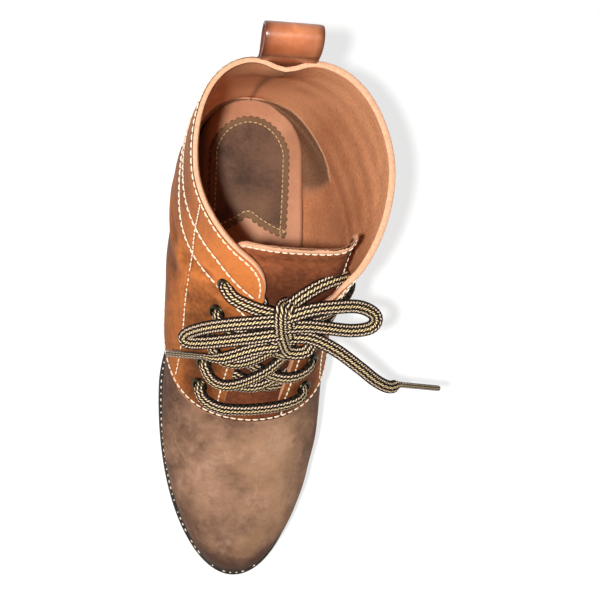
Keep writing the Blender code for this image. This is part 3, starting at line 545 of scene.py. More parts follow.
def nubuck_look():
    """Brushed leather in cloudy browns, rubbed paler, with dark stains and a pale scratch."""
    k = Look("vamp_nubuck", Specular_IOR_Level=0.15)
    blotch = k.noise(52.0, 5.0, 0.62, 0.3)
    nap = k.noise(420.0, 5.0, 0.7)
    # The tone mark is mostly painted light and shade. The noises add the leather's own cloudiness, and the
    # warm and rubbed patches follow the mark.
    tone_and_painted_light = k.stir(k.mark("tone_and_painted_light"), k.noise(17.0, 3.0, 0.55, 0.8), 1.25)
    tone_and_painted_light = k.stir(tone_and_painted_light, blotch, 1.3)
    tone_and_painted_light = k.stir(tone_and_painted_light, k.noise(130.0, 5.0, 0.7, 0.2, (0.8, 1.2, 1.0)), 0.9)
    tone_and_painted_light = k.stir(tone_and_painted_light, nap, 0.45)
    warm = k.range(k.noise(24.0, 3.0, 0.5, 0.6), 0.48, 0.66, 0.0, 0.55)
    rub = k.range(k.noise(60.0, 6.0, 0.7, 0.5), 0.54, 0.68, 0.0, 0.45)
    ragged = k.range(k.noise(260.0, 5.0, 0.7, 1.0), 0.34, 0.62)
    k.paint(
        k.mix(k.range(tone_and_painted_light, -0.35, 1.25), tint(88, 60, 47), tint(184, 142, 114)),
        (k.times(warm, k.mark("tone_and_painted_light")), tint(172, 132, 92)),
        (k.times(rub, k.mark("tone_and_painted_light")), tint(204, 168, 142)),
        (k.times(ragged, k.mark("stain")), tint(66, 42, 34)),
        (k.times(ragged, k.mark("scratch")), tint(196, 160, 130)),
    )
    k.set("Roughness", k.range(blotch, 0.3, 0.7, 0.86, 0.96))
    k.set("Normal", k.bump(k.noise(1500.0, 3.0, 0.6), 0.35, 0.00025, k.bump(nap, 0.25, 0.0006)))
    return k.material


def hide_look(name, light, dark, grain, gloss):
    """Smooth tanned leather with pores. Marks make it darker along a groove and paler at an edge."""
    k = Look(name, Specular_IOR_Level=0.03)
    fine = k.noise(420.0, 4.0, 0.65)
    # The tone mark holds painted shade as well as the leather's own tone
    share = k.stir(k.stir(k.mark("tone_and_painted_light"), k.noise(30.0, 4.0, 0.6), 0.8), fine, 0.6)
    k.paint(
        k.mix(k.range(share, 0.0, 1.0), dark, light),
        (k.times(k.mark("groove"), 0.75), tint(96, 48, 24)),
        (k.mark("edge"), tint(222, 168, 134)),
    )
    k.set("Roughness", k.range(fine, 0.25, 0.75, gloss - 0.07, gloss + 0.12))
    k.set("Normal", k.bump(k.cells(grain), 0.5, 0.0003, k.bump(fine, 0.12, 0.0006)))
    return k.material


def rim_look():
    """Raw cut edge of the leather, pale and fibrous, burnt where it meets the faces."""
    k = Look("raw_edge", Roughness=0.8, Specular_IOR_Level=0.25)
    fibre = k.noise(700.0, 4.0, 0.7)
    k.paint(
        k.mix(k.range(fibre, 0.3, 0.75), tint(222, 164, 128), tint(240, 188, 152)),
        (k.range(k.noise(60.0, 3.0, 0.6), 0.5, 0.8, 0.0, 0.3), tint(206, 144, 106)),
        (k.mark("burn"), tint(96, 50, 28)),
    )
    k.set("Normal", k.bump(fibre, 0.18, 0.0003))
    return k.material


def lining_look():
    """Pebbled pale leather, with the suede heel lining, its thinned edge and a seam as marks."""
    k = Look("lining_hide", Specular_IOR_Level=0.3)
    fine = k.noise(500.0, 4.0, 0.65)
    share = k.plus(k.times(k.noise(28.0, 4.0, 0.6), 0.5), k.times(fine, 0.5))
    nap = k.range(k.noise(900.0, 4.0, 0.7), 0.3, 0.7)
    # The tone mark holds painted light and painted shade
    k.paint(
        k.mix(k.range(k.plus(share, k.mark("tone_and_painted_light")), 0.2, 0.9), tint(184, 116, 78), tint(236, 168, 122)),
        (k.mark("counter"), k.mix(nap, tint(112, 80, 58), tint(150, 112, 84))),
        (k.mark("skive"), tint(224, 178, 146)),
        (k.times(k.mark("groove"), 0.6), tint(96, 54, 32)),
    )
    k.set("Roughness", k.range(fine, 0.3, 0.7, 0.55, 0.7))
    k.set("Normal", k.bump(fine, 0.35, 0.0006, k.bump(k.cells(750.0), 0.55, 0.0004)))
    return k.material


def pad_look():
    """Dark nubuck, worn along its border."""
    k = Look("pad_nubuck", Roughness=0.93, Sheen_Weight=0.1, Specular_IOR_Level=0.2)
    fine = k.noise(650.0, 4.0, 0.7)
    share = k.plus(k.noise(45.0, 4.0, 0.65), k.times(fine, 0.35))
    k.paint(
        k.mix(k.range(share, 0.4, 0.9), tint(74, 56, 46), tint(118, 88, 71)),
        (k.mark("worn"), tint(140, 106, 74)),
        (k.mark("edge"), tint(92, 58, 36)),
    )
    k.set("Normal", k.bump(fine, 0.5, 0.0004))
    return k.material


def insole_look():
    k = Look("insole_hide", Roughness=0.55, Specular_IOR_Level=0.3)
    fine = k.noise(700.0, 4.0, 0.6)
    k.paint(
        k.mix(k.range(k.noise(25.0, 4.0, 0.6), 0.3, 0.7), tint(170, 114, 82), tint(198, 142, 108)),
        (k.range(fine, 0.45, 0.8, 0.0, 0.3), tint(150, 96, 70)),
        (k.mark("worn"), tint(120, 76, 54)),
        # The soil mark is painted shadow of the inner wall together with soil
        (k.mark("soil"), tint(36, 22, 16)),
    )
    k.set("Normal", k.bump(fine, 0.25, 0.0003))
    return k.material


def strap_look():
    """Glossy burnished leather, darker at its edges, with a painted shadow under the roll and painted shade
    on its outer side.
    """
    k = Look("strap_hide", Coat_Weight=0.25, Coat_Roughness=0.25)
    fine = k.noise(520.0, 4.0, 0.65)
    k.paint(
        k.mix(k.range(k.noise(45.0, 4.0, 0.6), 0.3, 0.7), tint(190, 106, 64), tint(234, 150, 104)),
        (k.mark("edge"), tint(88, 40, 24)),
        # burn holds the burnt side edges, the painted shadow under the roll and the painted shade on the
        # outer side
        (k.mark("burn"), tint(80, 40, 22)),
    )
    k.set("Roughness", k.range(fine, 0.25, 0.75, 0.28, 0.46))
    k.set("Normal", k.bump(fine, 0.16, 0.0005))
    return k.material


def metal_look():
    k = Look("antique_bronze", Metallic=1.0)
    worn = k.noise(500.0, 4.0, 0.6)
    k.paint(k.mix(k.range(worn, 0.35, 0.7), tint(40, 36, 26), tint(96, 88, 62)))
    k.set("Roughness", k.range(worn, 0.3, 0.7, 0.42, 0.24))
    k.set("Normal", k.bump(worn, 0.1, 0.0002))
    return k.material


def thread_look(name, light, dark, soiled):
    k = Look(name, Roughness=0.75)
    fibre = k.noise(1600.0, 3.0, 0.6)
    soil = k.range(k.noise(90.0, 3.0, 0.6), 0.5, 0.8, 0.0, 0.5)
    k.paint(k.mix(k.range(fibre, 0.3, 0.7), dark, light), (soil, soiled))
    k.set("Normal", k.bump(fibre, 0.5, 0.0003))
    return k.material


def rubber_look(name, light, dark, rough):
    """Dark sole material, slightly dusty."""
    k = Look(name, Specular_IOR_Level=0.35)
    fine = k.noise(900.0, 4.0, 0.65)
    k.paint(
        k.mix(k.range(k.noise(70.0, 4.0, 0.6), 0.35, 0.7), dark, light),
        (k.range(fine, 0.6, 0.85, 0.0, 0.35), tint(120, 100, 84)),
    )
    k.set("Roughness", k.range(fine, 0.3, 0.7, rough - 0.08, rough + 0.12))
    k.set("Normal", k.bump(fine, 0.25, 0.0004))
    return k.material


def braid_look(name, brightness, relief, **values):
    """Plaited cord: a dark ground with pale zigzag rows along it, by the tube's own map."""
    k = Look(name, **values)
    split = k.add("SeparateXYZ")
    k.put(k.where.outputs["UV"], split.inputs[0])
    turn = k.times(split.outputs[1], 1.0 / PLAIT)
    rows = k.times(k.math("COSINE", k.times(split.outputs[0], 2.0 * math.pi)), 1.0 / PLAIT_ROW)
    # Each row leans to and fro along the cord, and the row in the middle is the widest
    wave = k.times(k.math("PINGPONG", turn, 0.5), 2.0)
    leaning = k.plus(rows, k.times(k.minus(wave, 0.5), PLAIT_LEAN))
    across = k.minus(k.math("FRACT", k.plus(leaning, 0.5)), 0.5)
    middle = k.range(k.math("ABSOLUTE", rows), 0.4, 0.6, 1.0, 0.0)
    reach = k.plus(ROW_REACH, k.times(middle, ROW_MORE))
    bright = k.range(k.minus(k.math("ABSOLUTE", across), reach), 0.0, 0.1, 1.0, 0.0)
    # Slanted gaps break each row into dashes
    beat = k.math("FRACT", k.plus(k.times(turn, 2.0), k.times(across, DASH_SLANT)))
    gap = k.range(k.math("ABSOLUTE", k.minus(beat, 0.5)), 0.2, 0.34, 0.0, 0.97)
    bright = k.times(bright, k.times(k.minus(1.0, gap), brightness))
    pale = k.mix(middle, tint(252, 222, 190), tint(252, 222, 168))
    pale = k.mix(k.range(k.noise(1400.0, 3.0, 0.6), 0.5, 0.85, 0.0, 0.4), pale, tint(170, 128, 86))
    plait = k.math("SINE", k.times(k.plus(turn, k.times(rows, 0.5)), 2.0 * math.pi))
    k.paint(k.mix(k.range(plait, -1.0, 1.0), tint(14, 10, 8), tint(44, 34, 28)), (bright, pale))
    k.set("Normal", k.bump(k.plus(k.times(plait, 0.3), bright), relief, 0.0004))
    return k.material


LOOKS = {
    "nubuck": nubuck_look(),
    "quarter": hide_look("quarter_hide", tint(214, 126, 66), tint(98, 56, 32), 900.0, 0.5),
    "tongue": hide_look("tongue_hide", tint(188, 110, 70), tint(88, 48, 32), 800.0, 0.55),
    "rim": rim_look(),
    "lining": lining_look(),
    "pad": pad_look(),
    "insole": insole_look(),
    "strap": strap_look(),
    "bronze": metal_look(),
    "thread": thread_look("cream_thread", tint(255, 246, 228), tint(232, 208, 172), tint(200, 160, 118)),
    "tan_thread": thread_look("tan_thread", tint(222, 196, 146), tint(184, 150, 102), tint(140, 104, 66)),
    "welt": rubber_look("welt_dark", tint(64, 50, 40), tint(34, 26, 22), 0.6),
    "sole": rubber_look("sole_rubber", tint(58, 48, 42), tint(32, 27, 24), 0.68),
    "heel": rubber_look("heel_stack", tint(70, 48, 34), tint(40, 28, 20), 0.5),
    "braid": braid_look("lace_braid", 1.0, 0.7, Roughness=0.82, Specular_IOR_Level=0.12),
    "tip": braid_look("lace_tip", 0.55, 0.25, Roughness=0.3, Coat_Weight=1.0, Coat_Roughness=0.06),
}

# Camera and light

# The photo's side and the camera's focal length in pixels, and how far right of and above the point
# straight below the camera the picture's middle lies
PHOTO_SIDE, FOCAL, AIM_RIGHT, AIM_UP = 600.0, 1122.0, 187.0, 115.0
SENSOR, CAMERA_SLOPE, CAMERA_PLACE = 36.0, 0.0319, (-0.0768, -0.0482, 0.660)
KEY_PLACE, KEY_TARGET = (-0.155, -0.075, 0.74), (0.0, 0.0, 0.08)
KEY_SIZE, KEY_POWER, KEY_COLOUR = 0.04, 5.9, (1.0, 0.99, 0.97)
# The sky is bright near the horizon and dim overhead
SKY = (("From Min", 0.1), ("From Max", 0.5), ("To Min", 0.6), ("To Max", 0.04))
FLOOR_HALF, FLOOR_GLOW = 4, 0.75
WHITE = (1.0, 1.0, 1.0, 1.0)


def place_camera():
    turn = math.atan(CAMERA_SLOPE)
    right = Vector((math.cos(turn), math.sin(turn), 0.0))
    up = Vector((-math.sin(turn), math.cos(turn), 0.0))
    down = Vector((0.0, 0.0, -1.0))
    aim = (right * (AIM_RIGHT / FOCAL) + up * (AIM_UP / FOCAL) + down).normalized()
    swing = down.rotation_difference(aim).to_matrix()
    axes = Matrix((swing @ right, swing @ up, -aim)).transposed()
    data = bpy.data.cameras.new("camera")
    data.sensor_width = SENSOR
    data.lens = SENSOR * FOCAL / PHOTO_SIDE
    camera = bpy.data.objects.new("camera", data)
    camera.matrix_world = Matrix.Translation(Vector(CAMERA_PLACE)) @ axes.to_4x4()
    bpy.context.scene.collection.objects.link(camera)
    bpy.context.scene.camera = camera
    bpy.context.scene.view_settings.view_transform = "Standard"


def add_sky():
    world = bpy.data.worlds.new("studio")
    world.use_nodes = True
    nodes, links = world.node_tree.nodes, world.node_tree.links
    back = nodes["Background"]
    back.inputs["Color"].default_value = WHITE
    where, split, dim = (nodes.new("ShaderNode" + kind) for kind in ("TexCoord", "SeparateXYZ", "MapRange"))
    links.new(where.outputs["Generated"], split.inputs[0])
    links.new(split.outputs[2], dim.inputs["Value"])
    for key, value in SKY:
        dim.inputs[key].default_value = value
    links.new(dim.outputs["Result"], back.inputs["Strength"])
    bpy.context.scene.world = world


def add_key_light():
    data = bpy.data.lights.new("key", "AREA")
    data.shape = "DISK"
    data.size = KEY_SIZE
    data.energy = KEY_POWER
    data.color = KEY_COLOUR
    o = bpy.data.objects.new("key", data)
    o.location = KEY_PLACE
    aim = Vector(KEY_TARGET) - Vector(KEY_PLACE)
    o.rotation_euler = aim.to_track_quat("-Z", "Y").to_euler()
    bpy.context.scene.collection.objects.link(o)


def add_floor():
    k = Look("floor_paper", Roughness=0.9, Emission_Color=WHITE, Emission_Strength=FLOOR_GLOW)
    k.paint(k.mix(k.noise(6.0), tint(158, 158, 158), tint(164, 164, 164)))
    mesh = bpy.data.meshes.new("floor")
    corners = [(x * FLOOR_HALF, y * FLOOR_HALF, 0) for x, y in ((-1, -1), (1, -1), (1, 1), (-1, 1))]
    mesh.from_pydata(corners, [], [(0, 1, 2, 3)])
    mesh.materials.append(k.material)
    floor = bpy.data.objects.new("floor", mesh)
    bpy.context.scene.collection.objects.link(floor)


# Lace

LACE_WIDE, LACE_THICK, AGLET = 6.8, 4.4, 3.2
# Distance between points along a tube, points round it, how many along it smooth its turn, and
# the distance between points of a route over the upper
LACE_STEP, LACE_AROUND, LACE_WINDOW, OVER_STEP = 0.42, 28, 13, 1.2
PLAIT_SWELL, PLAIT_BEAT = 0.025, 4.65
BOW_UP = unit(np.array([-0.12, -0.2, 0.97]))

# The bow's route, as in the solids, with the stretches inside the knot. A second turn lies beside
# the band, and two short strands fill the knot's heart.
KNOT = ((6.4, 2.6, 134.6), (7.2, -3.1, 129.3), (9.0, -8.1, 121.5), (12.9, -13.6, 110.8))
BAND_START = ((10.0, 7.4, 125.5), (7.6, 5.6, 131.0))
BAND_END = ((15.8, -15.3, 108.6), (20.2, -15.4, 108.2), (23.9, -14.0, 109.0), (25.4, -10.8, 111.5))
SECOND_START, SECOND_SHIFT = ((10.0, 6.6, 126.5), (8.0, 5.0, 131.5)), (4.4, 0.3, -2.0)
HEART_HIGH = ((4.0, 2.0, 127.5), (10.0, -1.0, 126.5), (15.0, -6.5, 119.5))
HEART_LOW = ((3.0, -8.5, 117.0), (9.0, -9.6, 116.0), (16.0, -9.0, 115.5))
LOOP_MEDIAL = (
    (9.0, -1.8, 128.5),
    (4.5, -1.6, 129.3), (-5.3, -2.5, 126.4), (-16.7, -3.3, 118.3), (-27.1, -4.4, 107.1),
    (-34.3, -6.2, 94.6), (-36.3, -8.5, 90.0), (-34.0, -10.8, 91.5), (-26.5, -11.2, 99.4),
    (-15.3, -10.3, 108.8), (-3.6, -9.1, 117.7), (6.1, -7.7, 121.9),
    (10.0, -7.0, 121.5),
)
LOOP_LATERAL = (
    (5.0, -1.5, 128.6),
    (10.3, 0.2, 131.5), (21.3, 3.9, 133.6), (33.5, 6.0, 131.4), (45.6, 7.2, 126.0),
    (54.0, 5.2, 120.8), (56.8, 1.6, 117.2), (53.8, -2.2, 115.7), (44.5, -3.9, 117.0),
    (31.6, -3.5, 121.0), (21.4, -3.2, 124.0), (11.3, -4.1, 125.8),
    (6.0, -4.6, 124.6),
)
AGLET_MEDIAL = ((-26.8, -17.9, 95.1), (-44.6, -16.2, 84.4))
AGLET_LATERAL = ((78.3, -28.8, 83.7), (100.9, -30.0, 79.4))
END_MEDIAL = (
    (9.0, -12.4, 113.1), (0.6, -13.6, 110.6), (-7.2, -15.6, 107.2), (-15.8, -18.4, 102.0),
    (-21.8, -18.9, 98.2), (-25.9, -18.0, 95.6), AGLET_MEDIAL[0],
)
END_LATERAL = (
    (13.2, -8.3, 118.9), (24.1, -8.6, 118.2), (37.4, -13.5, 113.0), (51.9, -21.6, 104.0),
    (62.5, -27.6, 95.4), (71.0, -30.3, 88.6), (77.2, -28.9, 84.2), AGLET_LATERAL[0],
)
# How far before its tip each end starts to get thinner, and the size it comes down to
THINS_MEDIAL, THINS_LATERAL, THIN_END = 13.0, 5.0, AGLET * 0.94
CRIMP, CRIMP_DEEP = (2.0, 3.0), 0.05
TIP_ROUND, TIP_NARROWS, TIP_FLAT = 1.4, 0.12, 0.92
# From the top inner eyelet up to the knot, and from the knot down to the top outer one
RISE = (
    (-18.2, 13.4, 120.0), (-14.6, 8.8, 122.6), (-5.1, 4.3, 125.2), (4.3, 1.9, 126.6), (10.0, 0.5, 125.5),
)
DESCENT = (
    (9.0, 3.6, 127.0), (15.5, 9.3, 130.5), (24.0, 15.0, 132.0), (33.0, 19.4, 130.0), (40.0, 22.2, 123.5),
)
# Lifts of the lace's middle: under a facing, in an eyelet, and coming out over its ring
LACE_HIDDEN, LACE_IN, LACE_OUT = -3.4, -0.6, 2.6


def full_size(far):
    return np.ones((len(far), 2))


def braid(points, ups, grow=full_size):
    """Points, faces and map of an oval plaited tube along close points. grow gives the shares of
    its full width and thickness at each distance along it."""
    along = unit(np.gradient(points, axis=0))
    flat = ups - (ups * along).sum(1, keepdims=True) * along
    more = LACE_WINDOW // 2
    flat = np.concatenate([np.repeat(flat[:1], more, 0), flat, np.repeat(flat[-1:], more, 0)])
    window = np.ones(LACE_WINDOW) / LACE_WINDOW
    flat = np.stack([np.convolve(column, window, "valid") for column in flat.T], 1)
    flat = unit(flat - (flat * along).sum(1, keepdims=True) * along)
    side = np.cross(along, flat)
    far = run_along(points)
    size = grow(far) * (1.0 + PLAIT_SWELL * np.sin(far * PLAIT_BEAT))[:, None]
    angle = 2.0 * math.pi * np.arange(LACE_AROUND + 1) / LACE_AROUND
    across = np.cos(angle)[None, :, None] * side[:, None] * (size[:, :1] * LACE_WIDE / 2.0)[:, None]
    upward = np.sin(angle)[None, :, None] * flat[:, None] * (size[:, 1:] * LACE_THICK / 2.0)[:, None]
    ring = points[:, None] + across + upward
    uv = np.stack(np.broadcast_arrays(angle[None, :] / (2.0 * math.pi), far[:, None]), -1)
    faces = grid_faces(*ring.shape[:2])
    count = ring.shape[0] * ring.shape[1]
    last = count - LACE_AROUND - 1
    for k in range(LACE_AROUND):
        faces.append([count, k + 1, k])
        faces.append([count + 1, last + k, last + k + 1])
    all_points = np.concatenate([ring.reshape(-1, 3), points[:1], points[-1:]])
    all_uv = np.concatenate([uv.reshape(-1, 2), [[0.25, 0.0], [0.25, far[-1]]]])
    return all_points, faces, all_uv


def free_strand(route, grow=full_size):
    """Close points of a strand of the bow, and its tube."""
    points = smooth_route(route, LACE_STEP)
    return points, braid(points, np.repeat(BOW_UP[None], len(points), 0), grow)


def over_upper(places):
    """A strand over the upper. Each place is a row, a distance beside the middle of the
    throat, inner side negative, and a lift of the lace's middle."""
    route = smooth_route([(row * ROW_MM, off, lift) for row, off, lift in places], OVER_STEP)
    points, ups = [], []
    for row, off, lift in route:
        v = share_at(row / ROW_MM, abs(off), -1 if off < 0 else 1)
        points.append(on_upper(row / ROW_MM, v, lift))
        ups.append(last_normal(row / ROW_MM, v))
    return braid(*spread(np.array(points), LACE_STEP, np.array(ups)))


def add_lace(name, strands, look="braid"):
    """One object from tubes made by braid."""
    points, faces, uv = [], [], []
    start = 0
    for tube_points, tube_faces, tube_uv in strands:
        points.append(tube_points)
        uv.append(tube_uv)
        faces += [[k + start for k in face] for face in tube_faces]
        start += len(tube_points)
    return add_mesh(name, np.concatenate(points), faces, look, uv=np.concatenate(uv))


def crossing(k, side, top):
    """The strand out of eyelet k, forward over its facing, across and under the other one. Where
    two strands cross, the top one is lifted over the other."""
    row, after = EYELET_ROWS[k], EYELET_ROWS[k + 1]
    off = eyelet_off(row, side)
    edge = throat_half(after, -side)
    step = after - row
    # On the inner side it hangs further forward
    droop = 1.0 if side < 0 else 0.25
    places = (
        (row, off, LACE_HIDDEN), (row, off, LACE_IN), (row - 0.1 * droop, off - 1.6, LACE_OUT),
        (row - 0.36 * droop, off - 6.5, 3.7), (row - 0.42 * droop, off - 13.0, 3.2),
        (row - 0.2 * droop, off - 21.0, 2.4 if top else 0.6),
        (row + 0.3 * step, -2.0, 3.4 if top else -0.2), (row + 0.66 * step, -9.0, 0.6),
        (row + 0.82 * step, -(edge - 1.0), -2.6), (row + 0.9 * step, -(edge + 5.0), -4.4),
    )
    return over_upper([(r, side * o, lift) for r, o, lift in places])


def lowest_bar():
    """The bar across the foot of the throat."""
    row = EYELET_ROWS[0]
    inner, outer = eyelet_off(row, -1), eyelet_off(row, 1)
    return over_upper((
        (row, -inner, LACE_HIDDEN), (row, -inner, LACE_IN), (row - 0.13, -inner + 1.2, LACE_OUT),
        (7.72, -inner + 4.5, 3.7), (7.55, -15.0, 3.7), (7.56, -6.0, 3.5), (7.62, 4.0, 3.4),
        (7.7, 14.0, 3.6), (7.8, 22.0, 3.8),
        (row - 0.14, outer - 1.2, LACE_OUT), (row, outer, LACE_IN), (row, outer, LACE_HIDDEN),
    ))


def highest_bar():
    """The strand from the fourth inner eyelet over to the top outer one."""
    row, top = EYELET_ROWS[3], EYELET_ROWS[4]
    inner, outer = eyelet_off(row, -1), eyelet_off(top, 1)
    return over_upper((
        (row, -inner, LACE_HIDDEN), (row, -inner, LACE_IN), (row - 0.12, -inner + 1.6, LACE_OUT),
        (row - 0.3, -inner + 7.0, 3.7), (row, -9.0, 4.4), (row + 0.6, 3.0, 5.0), (row + 1.1, 16.0, 4.6),
        (top - 0.45, outer - 9.0, 4.0), (top - 0.1, outer - 1.8, 2.8), (top, outer, -0.4), (top, outer, -3.2),
    ))


def build_lacing():
    """The lace over the throat in one piece: bars, crossings and the strands up to the knot."""
    low = ((8.15, 19.0, -4.4), (8.22, 13.0, -2.4), (8.3, 7.0, -0.8), (8.42, 0.0, -0.3), (8.55, -7.0, -0.8),
           (8.63, -13.0, -2.4), (8.7, -19.0, -4.4))
    high = [(row, -off, lift + 2.2 * bell(off / 8.0)) for row, off, lift in low]
    strands = [lowest_bar(), over_upper(low), over_upper(high)]
    for k, side in ((1, 1), (1, -1), (2, 1), (2, -1), (3, 1)):
        strands.append(crossing(k, side, side < 0))
    strands.append(highest_bar())
    centre, out = eyelet_place(EYELET_ROWS[-1], -1)
    rise = (tuple(centre - 4.0 * out), tuple(centre - 0.8 * out)) + RISE
    strands += [free_strand(route)[1] for route in (rise, DESCENT)]
    finish_piece(add_lace("lace_lacing", strands), "lace_braid", "lace_crossings")


def thinner(over):
    """A size along a strand that gets less over its last stretch."""

    def grow(far):
        u = ease((far - (far[-1] - over)) / over)[:, None]
        return (1.0 - u) + u * np.array([[THIN_END / LACE_WIDE, THIN_END / LACE_THICK]])

    return grow


def tip_size(far):
    """The clear tip, with a crimp near its start and a rounded end."""
    pressed = CRIMP_DEEP * ((far > CRIMP[0]) & (far < CRIMP[1]))
    size = 1.0 - pressed - TIP_NARROWS * ease((far - far[-1] + TIP_ROUND) / TIP_ROUND)
    return np.stack([size * AGLET / LACE_WIDE, size * TIP_FLAT * AGLET / LACE_THICK], 1)


def build_tip(side, line):
    points = spread(np.array(line, float), CLOSE_STEP)
    tube = braid(points, np.repeat(BOW_UP[None], len(points), 0), tip_size)
    return finish_piece(add_lace("lace_tip_" + side, [tube], "tip"), "clear_tip", "aglet_" + side)


def build_bow():
    tips = {"medial": build_tip("medial", AGLET_MEDIAL), "lateral": build_tip("lateral", AGLET_LATERAL)}
    points, tube = free_strand(BAND_START + KNOT + BAND_END)
    knot = finish_piece(add_lace("lace_band", [tube]), "lace_braid", "lace_knot")
    second = np.array(SECOND_START + KNOT[:3]) + np.array(SECOND_SHIFT)
    strands = [free_strand(route)[1] for route in (second, HEART_HIGH, HEART_LOW)]
    heart = finish_piece(add_lace("lace_knot_heart", strands), "lace_braid")
    for side, route in (("medial", LOOP_MEDIAL), ("lateral", LOOP_LATERAL)):
        points, tube = free_strand(route)
        loop = finish_piece(add_lace("lace_bow_" + side, [tube]), "lace_braid", "lace_loop_" + side)
    for side, route, over in (("medial", END_MEDIAL, THINS_MEDIAL), ("lateral", END_LATERAL, THINS_LATERAL)):
        points, tube = free_strand(route, thinner(over))
        end = finish_piece(add_lace("lace_free_" + side, [tube]), "lace_braid", "lace_end_" + side)


# Upper

Crease = namedtuple("Crease", "row_a v_a row_b v_b wide deep")
VAMP_CREASES = (
    Crease(6.9, -0.30, 6.1, -0.42, 5.0, 0.5),
    Crease(6.5, -0.34, 5.7, -0.46, 5.0, 0.35),
    Crease(6.7, 0.26, 6.0, 0.40, 5.5, 0.5),
    Crease(6.2, 0.34, 5.5, 0.46, 5.0, 0.35),
    Crease(6.65, -0.16, 6.5, 0.10, 8.0, 0.3),
)
QUARTER_CREASES = (
    Crease(11.9, -0.20, 10.9, -0.30, 3.0, 0.9),
    Crease(11.2, -0.21, 10.3, -0.31, 3.2, 0.9),
    Crease(12.6, -0.25, 11.6, -0.36, 4.0, 0.7),
    Crease(10.4, -0.22, 9.7, -0.30, 3.0, 0.5),
    Crease(11.8, 0.24, 10.8, 0.34, 3.4, 0.8),
    Crease(10.9, 0.24, 10.1, 0.34, 3.4, 0.7),
    Crease(10.6, -0.42, 10.2, -0.62, 5.0, 0.8),
    Crease(11.5, -0.44, 11.3, -0.66, 5.0, 0.7),
    Crease(10.6, 0.42, 10.2, 0.62, 5.0, 0.8),
    Crease(11.5, 0.44, 11.3, 0.66, 5.0, 0.7),
)
LINING_FOLDS = (
    Crease(16.1, 0.56, 15.7, 0.90, 4.0, 0.35),
    Crease(15.4, 0.46, 15.0, 0.88, 4.5, 0.4),
    Crease(14.4, 0.42, 14.3, 0.80, 5.0, 0.35),
    Crease(13.5, 0.36, 13.2, 0.62, 5.5, 0.3),
    Crease(15.6, -0.42, 15.2, -0.85, 5.0, 0.6),
    Crease(14.4, -0.42, 14.0, -0.80, 5.0, 0.6),
)
# Millimetres of a row and of a whole share where creases run, and the ridges beside a crease
CREASE_ROW_MM, CREASE_SHARE_MM = 12.0, 150.0
RIDGE, RIDGE_AT, RIDGE_WIDE = 0.55, 1.5, 0.5
Spot = namedtuple("Spot", "row v wide deep")
VAMP_STAINS = (
    Spot(6.13, -0.167, 3.2, 0.55), Spot(6.33, 0.22, 1.6, 0.6), Spot(4.23, 0.09, 4.5, 0.4),
    Spot(5.33, -0.057, 6.0, 0.18), Spot(2.65, -0.06, 1.6, 0.6), Spot(3.4, 0.15, 8.0, 0.16),
    Spot(4.6, -0.22, 7.0, 0.14), Spot(3.0, -0.2, 5.0, 0.16), Spot(5.4, 0.2, 6.0, 0.12),
)
VAMP_SCRATCH, SCRATCH_WIDE = ((6.8, -0.375), (6.3, -0.33), (5.65, -0.255)), 0.9
# Share, then the row of the heel lining's upper and lower edge
COUNTER_FROM = 0.60
COUNTER_TOP = (
    (COUNTER_FROM, 11.75), (0.61, 12.05), (0.63, 12.4), (0.66, 12.75), (0.72, 13.0),
    (0.78, 13.15), (0.83, 13.2), (0.90, 12.93), (0.97, 12.25), (1.0, 12.15),
)
COUNTER_LOW = (
    (COUNTER_FROM, 11.75), (0.615, 11.5), (0.64, 11.05), (0.69, 10.5), (0.735, 10.18),
    (0.80, 9.93), (0.907, 9.72), (1.0, 9.6),
)
COUNTER_STEP = 0.6
# Rows and shares of the sewn lines on the inner quarter. The outer quarter mirrors them, without
# their ends at the throat and the collar.
LINE_HIGH = (
    (12.9, -0.092), (13.18, -0.12), (13.66, -0.168), (14.28, -0.236), (14.47, -0.287), (14.65, -0.358),
    (14.8, -0.45), (14.9, -0.55), (15.0, -0.7), (15.05, -0.85), (15.1, -1.0),
)
LINE_LOW_END = ((11.25, -0.095), (11.4, -0.117))
LINE_LOW = (
    (12.0, -0.185), (12.32, -0.223), (12.5, -0.265), (12.8, -0.335), (13.15, -0.405), (13.6, -0.46),
    (14.25, -0.55), (14.65, -0.7), (14.85, -0.85), (14.93, -1.0),
)
LINE_STAY = (
    (14.6, -0.355), (12.82, -0.330), (11.38, -0.323), (10.15, -0.318), (9.15, -0.312),
    (8.45, -0.322), (8.0, -0.338),
)
STAY_TOP, OUTER_STAY_TOP = ((16.66, -0.378), (15.78, -0.368)), ((15.9, -0.37),)
INNER_LINES = (LINE_HIGH, LINE_LOW_END + LINE_LOW, STAY_TOP + LINE_STAY)
OUTER_LINES = tuple(
    tuple((row, -v) for row, v in line) for line in (LINE_HIGH, LINE_LOW, OUTER_STAY_TOP + LINE_STAY)
)
# The raw edge's profile: out of the upper, away from its edge, how burnt it is, and whether it
# gets narrower on the inner side
Rim = namedtuple("Rim", "out away burn narrow")
RIM = (
    Rim(1.3, -1.9, 0.7, True), Rim(1.62, -1.1, 0.0, True), Rim(1.72, -0.3, 0.0, True),
    Rim(1.42, 0.35, 0.0, False), Rim(0.6, 0.66, 0.0, False), Rim(-0.4, 0.7, 0.0, False),
    Rim(-1.4, 0.5, 0.0, False), Rim(-2.1, 0.05, 0.0, False), Rim(-2.3, -0.7, 0.35, False),
    Rim(-1.9, -1.9, 0.7, False),
)
RIM_MIDDLE, RIM_X, RIM_ROWS = 0.3, (5.0, 35.0), (13.4, 15.4)
BASE_ROW, BASE_UNDER = 8.5, 2.0
